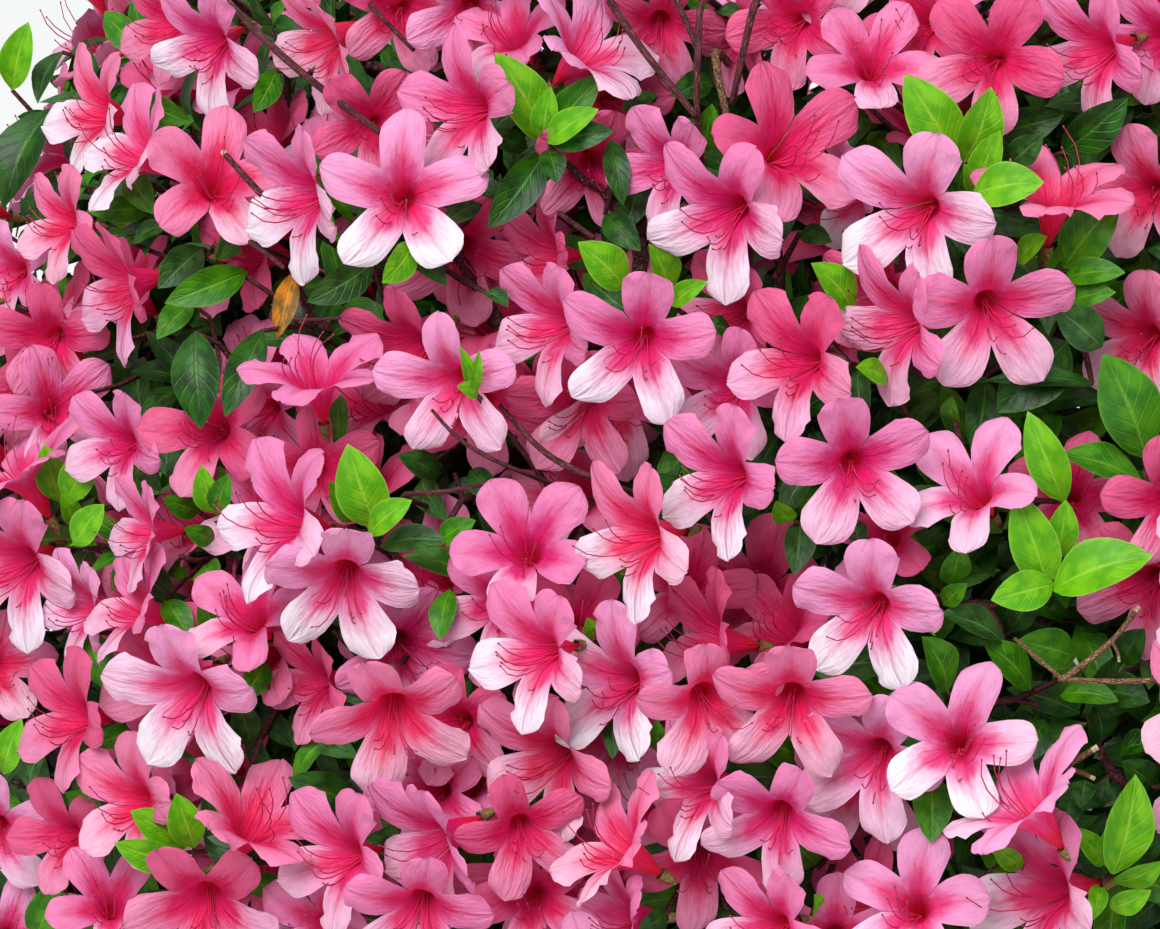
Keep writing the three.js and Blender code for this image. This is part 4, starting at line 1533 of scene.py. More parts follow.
class PicturedBlooms:
    """The blooms that the photograph shows, laid on the crown along the camera's rays."""

    DEPTH_STEPS = (0, 2, 4, 6, 9, 12, 16, 20)  # millimetres tried, so that lobes pass each other
    STEP_COST = 0.3  # crossings that a millimetre of depth is worth
    SIZES = (0.77, 1.12)  # smallest and largest bloom, over the usual size

    def __init__(self, view: ViewPoint, crown: Crown, shape: Blossom) -> None:
        """Reads what was seen."""
        self.view, self.crown, self.shape = view, crown, shape
        self.seen = {f.name: np.array([getattr(s, f.name) for s in SEEN_BLOOMS]) for f in fields(Seen)}
        self.deep = self.seen["deep"].copy()

    def laid(self) -> Blooms:
        """The blooms at the depths held now."""
        eye = self.view.eye(self.crown)
        rays = self.view.ray(self.seen["across"], self.seen["down"])
        far = self.crown.meet(eye, rays) + self.deep * 0.001 + BLOOM_SETBACK
        back = -rays
        right = unit(np.cross(self.view.up, back))
        up = np.cross(back, right)
        aside, above, turn = (np.radians(self.seen[part]) for part in ("right", "up", "turn"))
        look = (
            back * (np.cos(aside) * np.cos(above))[:, None]
            + right * (np.sin(aside) * np.cos(above))[:, None]
            + up * np.sin(above)[:, None]
        )
        start = right * np.cos(turn)[:, None] + up * np.sin(turn)[:, None]
        pixels_each = PICTURE[0] / self.view.span * self.view.distance / far
        size = np.clip(self.seen["reach"] / pixels_each / self.shape.reach, *self.SIZES)
        mouth = (self.shape.throat_height - self.shape.heart_height) * size
        throat = eye + rays * far[:, None] + look * mouth[:, None]
        # Seen blooms that sit deep are painted in the deeper pinks of shade
        shaded = self.seen["deep"] >= SHADE_DEPTH
        return Blooms(throat, look, start, size, np.full(len(look), 2), self.seen["white"], shaded)

    def settled(self, fitting: "Fitting") -> Blooms:
        """Moves each bloom back along its ray to where it passes its neighbours best, front ones first."""
        for i in np.argsort(self.deep, kind="stable"):
            first = self.deep[i]
            costs = []
            for step in self.DEPTH_STEPS:
                self.deep[i] = first + step
                costs.append(fitting.cost(self.laid().where([i])) + step * self.STEP_COST)
            self.deep[i] = first + self.DEPTH_STEPS[int(np.argmin(costs))]
            fitting.keep(self.laid().where([i]))
        return self.laid()


class Fitting:
    """Counts where a bloom would pass through those already kept."""

    NEAR = 0.046  # blooms further apart than this can't touch
    TUBE_GAP = 0.0045
    PIERCED = 30  # what a lobe through another bloom's tube costs
    CROWDED = 12  # crossings past which a bloom behind others is left out

    def __init__(self, shape: Blossom) -> None:
        """Makes one plain bloom to test with."""
        self.shape = shape
        lobe = shape.lobe(LobeCut(72, 12), 2, 3, 2)
        turns = np.arange(5) * math.tau / 5
        whole = []
        for t in turns:
            turn = np.array([[math.cos(t), -math.sin(t), 0], [math.sin(t), math.cos(t), 0], [0, 0, 1]])
            whole.append(Pattern(lobe.points @ turn.T, lobe.corners, lobe.sides, lobe.spots))
        bloom = joined(whole)
        self.points, self.faces = bloom.points, bloom.corners.reshape(-1, 4).tolist()
        self.trees: list[BVHTree] = []
        self.kept: Blooms | None = None
        self.tubes = np.empty((0, 3, 3))
        self.lobes = np.empty((0, 15, 3))

    def tree(self, bloom: Blooms) -> BVHTree:
        """The faces of one bloom, ready for tests."""
        turn = facing_frames(bloom.look, bloom.start)[0] * bloom.size[0]
        points = self.points @ turn.T + bloom.foot(self.shape)[0]
        return BVHTree.FromPolygons(points.tolist(), self.faces)

    def cost(self, bloom: Blooms) -> float:
        """How badly one bloom sits among those kept."""
        if self.kept is None:
            return 0.0
        near = np.flatnonzero(np.linalg.norm(self.kept.throat - bloom.throat[0], axis=1) < self.NEAR)
        if not len(near):
            return 0.0
        lobes, tubes = bloom.lobe_spots(self.shape)[0], bloom.tube_spots(self.shape)[0]
        into_theirs = np.linalg.norm(lobes[:, None] - self.tubes[near].reshape(1, -1, 3), axis=2).min()
        into_mine = np.linalg.norm(tubes[:, None] - self.lobes[near].reshape(1, -1, 3), axis=2).min()
        own = self.tree(bloom)
        crossings = sum(len(own.overlap(self.trees[k])) for k in near)
        return crossings + self.PIERCED * (min(into_theirs, into_mine) < self.TUBE_GAP)

    def keep(self, bloom: Blooms) -> None:
        """Takes one bloom in."""
        self.kept = bloom if self.kept is None else self.kept.plus(bloom)
        self.trees.append(self.tree(bloom))
        self.tubes = np.concatenate([self.tubes, bloom.tube_spots(self.shape)])
        self.lobes = np.concatenate([self.lobes, bloom.lobe_spots(self.shape)])

    def fit(self, tries: list[Blooms], most: float) -> None:
        """Takes in, bloom by bloom, the try that sits best, and leaves out those that sit badly.

        Args:
            tries: The same blooms several times, each time drawn anew.
            most: What a bloom may cost and still be kept.
        """
        for i in range(len(tries[0])):
            choices = [blooms.where([i]) for blooms in tries]
            costs = [self.cost(choice) for choice in choices]
            best = int(np.argmin(costs))
            if costs[best] < most:
                self.keep(choices[best])


@dataclass
class Shoot:
    """The end of a twig: where it is, where it points, and what it carries."""

    tip: np.ndarray
    way: np.ndarray
    leafy: bool = False
    young: bool = False
    inner: bool = False


@dataclass
class Tufts:
    """Places for shoots that carry only leaves."""

    places: np.ndarray
    ways: np.ndarray
    young: np.ndarray

    def shoots(self, inner: bool) -> list[Shoot]:
        """A shoot at each place, inside the crown or near its skin."""
        rows = zip(self.places, self.ways, self.young, strict=True)
        return [Shoot(place, way, leafy=True, young=bool(young), inner=inner) for place, way, young in rows]


class Growth:
    """Deals blooms and tufts of leaves over the whole crown, in layers."""

    TRY_DEPTHS = (0.0, 0.0, 0.003, 0.006, 0.009)
    OUTER_TRIES = 20000  # places tried for the outer layer
    OUTER_GAP = 0.0205  # between its places
    BEHIND_TRIES = 22000
    BEHIND_GAP = 0.0165
    SHOWN_GAP = 0.012  # from a bloom that the photograph shows
    OUTER_DEPTHS = ((0.0, 0.010), (0.014, 0.028))  # of the front and the second row of the outer layer
    BEHIND_DEPTH = (0.026, 0.048)
    FRONT_SHARE = 0.62  # share of the outer layer that is in its front row
    OUTER_LEAFY = 0.14  # share of leaves in the outer layer
    SEAM_WIDTH = 0.022
    SEAM_DEPTH = 0.02  # how far the crown falls back where two masses meet
    WHITE_SHARE = 0.28  # share of blooms with near-white lower lobes
    YOUNG_SHARE = 0.7  # share of the outer tufts that are young
    WAY_SHARES = (0.6, 0.7, 0.12)  # of a growth's way: square to the skin, out of the crown, and up
    WANDER = (0.15, 0.62)  # least and most that a bloom looks aside, over its way out
    SIZE = (0.98, 0.06)  # mean and spread of a bloom, over the usual size
    SIZE_LIMITS = (0.82, 1.12)
    FACING = -0.1  # how squarely a place has to face the camera to count as in the picture
    FINE_MARGIN = 80  # pixels round the picture within which blooms are finely cut
    EDGE = 45  # pixels round the picture that are kept for what it shows
    LEAFY_FROM = 960  # pixels from the left past which only leaves stand behind the seen blooms
    LEAFY_SHARE = 0.56  # share of leaves among what stands behind the seen blooms elsewhere
    BACKING_DEPTH = (0.052, 0.082)  # of the leaves that close the last gaps in the picture
    INNER_TUFTS = 1350
    INNER_MARGIN = 60  # pixels round the picture that count as in it for the inner leaves
    INNER_FROM = 0.04
    INNER_TO = (0.072, 0.098)  # in the picture and elsewhere
    SPIRAL_JITTER = 0.012
    LOWEST_RISE = -0.26  # sine of the slope down to the lowest leaves, seen from the core

    def __init__(self, view: ViewPoint, crown: Crown, rng: np.random.Generator) -> None:
        """Takes the crown, the view of it and the source of the draws."""
        self.view, self.crown, self.rng = view, crown, rng

    def pictured(self, places: np.ndarray, normals: np.ndarray, margin: float) -> np.ndarray:
        """Whether places face the camera inside the picture."""
        facing = (normals * self.view.back).sum(1) > self.FACING
        return self.view.inside(self.crown, places, margin) & facing

    def outwards(self, places: np.ndarray, normals: np.ndarray) -> np.ndarray:
        """The way that growth takes at places."""
        square, out, up = self.WAY_SHARES
        return unit(normals * square + self.crown.outward(places) * out + WORLD_UP * up)

    def seam(self, places: np.ndarray) -> np.ndarray:
        """From 0 inside a mass to 1 where two masses meet."""
        gaps = np.linalg.norm(places[:, None] - self.crown.centres[None], axis=2)
        nearest = np.sort(gaps, axis=1)
        return np.exp(-(((nearest[:, 1] - nearest[:, 0]) / self.SEAM_WIDTH) ** 2))

    def bloom(self, places: np.ndarray, ways: np.ndarray, detail: np.ndarray, shaded: bool) -> Blooms:
        """Blooms with their throats at places, looking about along the ways."""
        n = len(places)
        wander = unit(self.rng.normal(size=(n, 3))) * self.rng.uniform(*self.WANDER, n)[:, None]
        look = unit(ways + wander + WORLD_UP * 0.05)
        start = unit(self.rng.normal(size=(n, 3)))
        size = self.rng.normal(*self.SIZE, n).clip(*self.SIZE_LIMITS)
        # Blooms in the shade of others get no near-white lower lobes: painted shade
        white = self.rng.random(n) < (0.0 if shaded else self.WHITE_SHARE)
        return Blooms(places, look, start, size, detail, white, np.full(n, shaded))

    def tries(self, places: np.ndarray, ways: np.ndarray, shaded: bool) -> list[Blooms]:
        """The same blooms drawn several times, each time a little deeper."""
        detail = self.pictured(places, ways, self.FINE_MARGIN).astype(int)
        return [self.bloom(places - ways * sunk, ways, detail, shaded) for sunk in self.TRY_DEPTHS]

    def outer(self, shown: Blooms) -> tuple[list[Blooms], Tufts]:
        """The outer layer, all round but for the part that the photograph shows."""
        clear = np.full(len(shown), self.SHOWN_GAP)
        places, normals = self.crown.sample(self.rng, self.OUTER_TRIES, self.OUTER_GAP, shown.throat, clear)
        away = ~self.pictured(places, normals, self.EDGE)
        places, ways = places[away], self.outwards(places, normals)[away]
        layer = self.rng.random(len(places))
        front, second = (self.rng.uniform(*depths, len(places)) for depths in self.OUTER_DEPTHS)
        sunk = np.where(layer < self.FRONT_SHARE, front, second)
        sunk += self.SEAM_DEPTH * self.seam(places)
        leafy = self.rng.random(len(places)) < self.OUTER_LEAFY
        places = places - ways * sunk[:, None]
        young = self.rng.random(leafy.sum()) < self.YOUNG_SHARE
        tufts = Tufts(places[leafy], ways[leafy], young)
        return self.tries(places[~leafy], ways[~leafy], False), tufts

    def behind(self) -> tuple[list[Blooms], Tufts]:
        """A second layer in the shade of the blooms that the photograph shows."""
        nothing = np.empty((0, 3))
        taken = nothing, np.empty(0)
        places, normals = self.crown.sample(self.rng, self.BEHIND_TRIES, self.BEHIND_GAP, *taken)
        inside = self.pictured(places, normals, self.EDGE)
        places, ways = places[inside], self.outwards(places, normals)[inside]
        across, _ = self.view.pixel(self.crown, places)
        places = places - ways * self.rng.uniform(*self.BEHIND_DEPTH, len(places))[:, None]
        leafy = self.rng.random(len(places)) < np.where(across > self.LEAFY_FROM, 1.0, self.LEAFY_SHARE)
        tufts = Tufts(places[leafy], ways[leafy], np.zeros(leafy.sum(), bool))
        return self.tries(places[~leafy], ways[~leafy], True), tufts

    def spread(self, offset: float) -> tuple[np.ndarray, np.ndarray, np.ndarray]:
        """Even places on the shell in a golden spiral.

        Args:
            offset: How far the spiral is turned on, in steps.

        Returns:
            The places, the ways out there, and whether they lie in the picture.
        """
        i = np.arange(self.INNER_TUFTS)
        rise = 1 - (1 - self.LOWEST_RISE) * (i + 0.5) / len(i)
        level, turn = np.sqrt(1 - rise**2), (i + offset) * GOLDEN_TURN
        way = np.stack([level * np.cos(turn), level * np.sin(turn), rise], axis=1)
        places = self.crown.skin_along(unit(way + self.rng.normal(0, self.SPIRAL_JITTER, way.shape)))
        ways = self.crown.outward(places)
        return places, ways, self.pictured(places, ways, self.INNER_MARGIN)

    def backing(self) -> Tufts:
        """Leaves that close the last gaps behind what the photograph shows."""
        places, ways, inside = self.spread(0.7)
        places, ways = places[inside], ways[inside]
        depth = self.rng.uniform(*self.BACKING_DEPTH, len(places))
        return Tufts(places - ways * depth[:, None], ways, np.zeros(len(places), bool))

    def inner(self) -> Tufts:
        """Leaves deeper in the crown, all round and closest behind what the photograph shows."""
        sets = []
        for offset in (0.0, 0.4):
            places, ways, inside = self.spread(offset)
            kept = inside if offset else np.ones(len(places), bool)
            depth = self.rng.uniform(self.INNER_FROM, np.where(inside, *self.INNER_TO))
            sets.append((places - ways * depth[:, None], ways, kept))
        places, ways = (np.concatenate([s[k][s[2]] for s in sets]) for k in range(2))
        return Tufts(places, ways, np.zeros(len(places), bool))


class BlossomBuilder:
    """Turns the list of blooms into joined pieces of petals, filaments, anthers and stalks."""

    SIDE_DOWN = 0.42  # how far down a lobe points from which it is a side lobe
    WHITE_DOWN = -0.15  # the same for a lobe that bleaches on a near-white bloom
    SAME_CUT = 0.55  # share of lobes that have the cut of their bloom
    SLACK = 0.03  # most that a lobe turns about its bloom's axis, in radians
    OPEN_AIR = (0.34, 0.12, 0.2, 0.2, 0.14)  # share of each pink among the blooms in the open
    # Blooms in the shade of others: mostly the deeper pink and never the paler one, as painted shade
    IN_SHADE = (0.2, 0.6, 0.0, 0.12, 0.08)
    LOBE_STEPS = ((2, 4, 3), (3, 6, 4), (4, 9, 6))  # along the tube, along the lobe and across, by detail
    FINE_SEEDS = (3, 8, 13, 21)  # one for each set of stamens
    COARSE_SEEDS = (4, 9, 14)
    CUTS = (
        LobeCut(72, 12, 1.0, 1.0, 0.02, 0.0),
        LobeCut(66, 22, 1.1, 1.06, -0.06, 1.9, 0.0008),
        LobeCut(78, 6, 0.92, 0.94, 0.08, 3.1, -0.0003),
        LobeCut(64, 34, 1.04, 1.08, -0.02, 4.4, 0.0006),
        LobeCut(58, 14, 1.06, 0.98, 0.05, 5.2, 0.0001),
        LobeCut(74, 28, 0.9, 1.04, -0.11, 2.6, -0.0006),
    )

    def __init__(self, shape: Blossom, rng: np.random.Generator) -> None:
        """Cuts the lobes and stamens once."""
        self.shape, self.rng = shape, rng
        self.near = Heap()  # petals in and near the picture
        self.shown = Heap()  # those of the blooms that the photograph shows
        self.lobes = [[shape.lobe(cut, *steps) for cut in self.CUTS] for steps in self.LOBE_STEPS]
        self.fine_stamens = [shape.filaments(seed, 6, 3) for seed in self.FINE_SEEDS]
        self.coarse_stamens = [shape.filaments(seed, 2, 3, 2) for seed in self.COARSE_SEEDS]
        self.anther = shape.anther()
        self.stalk = shape.stalk()

    def petals(self, blooms: Blooms) -> None:
        """Makes one piece of petals for each shade."""
        n = len(blooms)
        # Blooms in the shade of others are dealt deeper pinks: painted shade
        open_air = self.rng.choice(len(Shade), n, p=self.OPEN_AIR)
        painted_shade = self.rng.choice(len(Shade), n, p=self.IN_SHADE)
        shades = np.where(blooms.shaded, painted_shade, open_air)
        slack = self.rng.uniform(-1, 1, (n, 5)) * self.SLACK
        kinds = len(self.CUTS)
        cut = self.rng.integers(0, kinds, (n, 5))
        habit = self.rng.integers(0, kinds, n)
        cut = np.where(self.rng.random((n, 5)) < self.SAME_CUT, habit[:, None], cut)
        heaps = [Heap() for _ in Shade]
        base, feet = facing_frames(blooms.look, blooms.start), blooms.foot(self.shape)
        for k in range(5):
            turn = k * math.tau / 5 + slack[:, k]
            x = base[..., 0] * np.cos(turn)[:, None] + base[..., 1] * np.sin(turn)[:, None]
            axes = np.stack([x, np.cross(base[..., 2], x), base[..., 2]], axis=-1)
            axes = axes * blooms.size[:, None, None]
            down = -x[:, 2]
            # Lobes that point further down face more of the sky and take the paler columns: partly their own
            # colour, partly painted light
            column = (down > self.SIDE_DOWN).astype(int) + (blooms.white & (down > self.WHITE_DOWN))
            shift = np.stack([column / MAP_COLUMNS, np.zeros(n)], axis=1)
            for s, heap in enumerate(heaps):
                for c in range(kinds):
                    for level, patterns in enumerate(self.lobes):
                        pick = (shades == s) & (cut[:, k] == c) & (blooms.detail == level)
                        heap.scatter(patterns[c], axes[pick], feet[pick], shift[pick])
                        if level > 0:
                            self.near.scatter(patterns[c], axes[pick], feet[pick])
                        if level == 2:
                            self.shown.scatter(patterns[c], axes[pick], feet[pick])
        for shade, heap in zip(Shade, heaps, strict=True):
            heap.piece("blossom_" + shade.name.lower(), shade.value.build(), "blossom")

    def stamens(self, blooms: Blooms) -> None:
        """Makes the filaments and the anthers."""
        threads, grains = Heap(), Heap()
        feet = blooms.foot(self.shape)
        upright = facing_frames(blooms.look, WORLD_UP + 0 * blooms.look)
        for fine, sets in ((True, self.fine_stamens), (False, self.coarse_stamens)):
            choice = self.rng.integers(0, len(sets), len(blooms))
            for c, (pattern, tips, ends) in enumerate(sets):
                pick = (choice == c) & ((blooms.detail > 0) == fine)
                turns = upright[pick] * blooms.size[pick, None, None]
                threads.scatter(pattern, turns, feet[pick])
                if not fine:
                    continue
                for tip, end in zip(tips, ends, strict=True):
                    where = np.einsum("nij,j->ni", turns, tip) + feet[pick]
                    course = np.einsum("nij,j->ni", turns, end)
                    grains.scatter(self.anther, facing_frames(course, WORLD_UP + 0 * course), where)
        threads.piece("blossom_filaments", Thread.FILAMENT.value.build(), "blossom", merge=False)
        grains.piece("blossom_anthers", Thread.ANTHER.value.build(), "blossom", merge=False)

    def stalks(self, blooms: Blooms) -> None:
        """Makes the calyx under each bloom."""
        heap = Heap()
        axes = facing_frames(blooms.look, blooms.start) * blooms.size[:, None, None]
        heap.scatter(self.stalk, axes, blooms.foot(self.shape))
        heap.piece("blossom_calyces", Bark.CALYX.value.build(), "leaf", merge=False)


# Twigs that grow on from the boughs


CLUSTER_GAP = 0.024  # between the feet of blooms on one shoot
CLUSTER_ALIKE = 0.2  # cosine of the most that they look apart
OUTWARD_SHARE = 0.8  # of a shoot's way, against the looks of its blooms
STALK_LENGTH = 0.009


def gather_shoots(blooms: Blooms, shape: Blossom, crown: Crown) -> list[Shoot]:
    """Groups neighbouring blooms on shared shoots.

    Args:
        blooms: All the blooms.
        shape: Sizes of a bloom.
        crown: The crown, which says which way is out.

    Returns:
        One shoot for each group of up to three blooms.
    """
    feet = blooms.foot(shape)
    free = np.ones(len(blooms), bool)
    shoots = []
    for i in np.argsort(feet[:, 2]):
        if not free[i]:
            continue
        gap = np.linalg.norm(feet - feet[i], axis=1)
        gap[~free] = np.inf
        alike = blooms.look @ blooms.look[i] > CLUSTER_ALIKE
        near = [j for j in np.argsort(gap)[:3] if gap[j] < CLUSTER_GAP and alike[j]]
        free[near] = False
        way = unit(blooms.look[near].mean(axis=0) + crown.outward(feet[i]) * OUTWARD_SHARE)
        tip = feet[near].mean(axis=0) - way * STALK_LENGTH
        shoots.append(Shoot(tip, way))
    return shoots


class TwigWork:
    """Grows branches from the ends of the boughs to every shoot by splitting the shoots into groups."""

    TWIG_RADIUS = 0.00105
    STOUT_RADIUS = 0.0014  # from which a twig has four sides
    BRANCH_RADIUS = 0.0021  # from which it counts as a branch
    FIRST_RADIUS = 0.0052  # of the branches that leave the boughs
    SPREAD = 0.41  # how fast a branch thickens with the shoots it carries
    SWING = 0.8  # how far a path follows the directions at its ends
    CROOK = 0.022  # how far it strays, over its length
    LAST_TAPER = (1.15, 0.72)  # of the last stretch to a shoot, over a twig's radius
    FORK_TAPER = 0.92  # radius at a fork, over the one that its shoots call for
    FORK_LEAN = 0.6  # how much of its direction a branch keeps past a fork
    END_RING = 0.006  # metres within which the points at a bough's end lie
    RING_GAP = 0.02

    def __init__(self, crown: Crown, rng: np.random.Generator) -> None:
        """Takes the crown and the source of the draws."""
        self.crown, self.rng = crown, rng
        self.twigs, self.limbs = Heap(), Heap()

    def radius(self, carried: int) -> float:
        """Thickness for a number of shoots."""
        return self.TWIG_RADIUS * carried**self.SPREAD

    def course(self, start: np.ndarray, leave: np.ndarray, end: np.ndarray,
               arrive: np.ndarray, joints: int) -> np.ndarray:
        """A gently crooked path with given directions at its ends."""
        span = np.linalg.norm(end - start)
        t = np.linspace(0, 1, joints + 1)[:, None]
        h = (2 * t**3 - 3 * t**2 + 1, t**3 - 2 * t**2 + t, -2 * t**3 + 3 * t**2, t**3 - t**2)
        swing = span * self.SWING
        path = h[0] * start + h[1] * leave * swing + h[2] * end + h[3] * arrive * swing
        crook = self.rng.normal(0, span * self.CROOK, (joints + 1, 3))
        crook[[0, -1]] = 0
        return path + crook

    def limb(self, path: np.ndarray, first: float, last: float) -> None:
        """Adds one stretch of branch, in the pile that its thickness calls for."""
        radii = np.linspace(first, last, len(path))
        thick = first > self.BRANCH_RADIUS
        heap = self.limbs if thick else self.twigs
        heap.add(tube_pattern(path, radii, 7 if thick else 4 if first > self.STOUT_RADIUS else 3))

    def split(self, shoots: list[Shoot]) -> list[list[Shoot]]:
        """Parts shoots into two or three groups that lie together."""
        places = np.array([s.tip for s in shoots])
        parts = 3 if len(shoots) > 8 and self.rng.random() < 0.5 else 2
        hearts = places[self.rng.choice(len(shoots), parts, replace=False)]
        for _ in range(6):
            label = np.linalg.norm(places[:, None] - hearts[None], axis=2).argmin(axis=1)
            hearts = np.array([places[label == k].mean(axis=0) if (label == k).any() else hearts[k]
                               for k in range(parts)])
        groups = [[s for s, k in zip(shoots, label, strict=True) if k == part] for part in range(parts)]
        return [g for g in groups if g]

    def grow(self, start: np.ndarray, way: np.ndarray, radius: float, shoots: list[Shoot]) -> None:
        """Grows one branch to its fork, and on from there to every shoot.

        Args:
            start: Where the branch leaves.
            way: Its direction there.
            radius: Its thickness there.
            shoots: What it has to reach.
        """
        if len(shoots) == 1:
            shoot = shoots[0]
            long = np.linalg.norm(shoot.tip - start)
            path = self.course(start, way, shoot.tip, shoot.way, 4 if long > 0.04 and not shoot.inner else 2)
            first, last = (self.TWIG_RADIUS * share for share in self.LAST_TAPER)
            self.limb(path, min(radius, first), last)
            return
        middle = np.mean([s.tip for s in shoots], axis=0)
        reach = 0.34 + 0.3 / math.sqrt(len(shoots))
        fork = start + (middle - start) * reach
        arrive = unit(middle - start + np.mean([s.way for s in shoots], axis=0) * 0.004)
        end_radius = max(self.radius(len(shoots)) * self.FORK_TAPER, self.TWIG_RADIUS)
        path = self.course(start, way, fork, arrive, 3)
        self.limb(path, radius, min(radius, end_radius))
        groups = self.split(shoots)
        if len(groups) == 1:
            half = len(shoots) // 2
            groups = [shoots[:half], shoots[half:]]
        for group in groups:
            aim = unit(np.mean([s.tip for s in group], axis=0) - fork)
            leave = unit(arrive * self.FORK_LEAN + aim)
            self.grow(fork, leave, min(end_radius, self.radius(len(group))), group)

    def bough_end(self, node: str, heart: np.ndarray) -> tuple[np.ndarray, np.ndarray]:
        """Where a packed bough ends, and its direction there."""
        co = mesh_points(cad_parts[node].data)
        far = np.linalg.norm(co - heart, axis=1)
        last = co[far < far.min() + self.END_RING].mean(axis=0)
        behind = far > far.min() + 2 * self.END_RING
        before = co[behind & (far <= far[behind].min() + self.RING_GAP)].mean(axis=0)
        return last, unit(last - before)

    def build(self, shoots: list[Shoot]) -> None:
        """Grows everything and makes the two pieces."""
        tips = np.array([s.tip for s in shoots])
        owner = np.linalg.norm(tips[:, None] - self.crown.centres[None], axis=2).argmin(axis=1)
        for index, name in enumerate(self.crown.masses):
            mine = [s for s, k in zip(shoots, owner, strict=True) if k == index]
            if not mine:
                continue
            end, way = self.bough_end(name.replace("foliage", "bough"), self.crown.centres[index])
            self.grow(end - way * self.END_RING, way, self.FIRST_RADIUS, mine)

    def pieces(self) -> None:
        """Makes the pieces of branches and twigs."""
        self.limbs.piece("branches", Bark.BRANCH.value.build(), "bough_bark", merge=False)
        self.twigs.piece("twigs", Bark.TWIG.value.build(), "twig_bark", merge=False)


# Leaves


@dataclass
class Batch:
    """Leaves of one kind that wait to be laid: the shape of each, its turn and scale, and its foot."""

    kind: Green
    plain: bool
    shape: np.ndarray
    turns: np.ndarray
    foot: np.ndarray


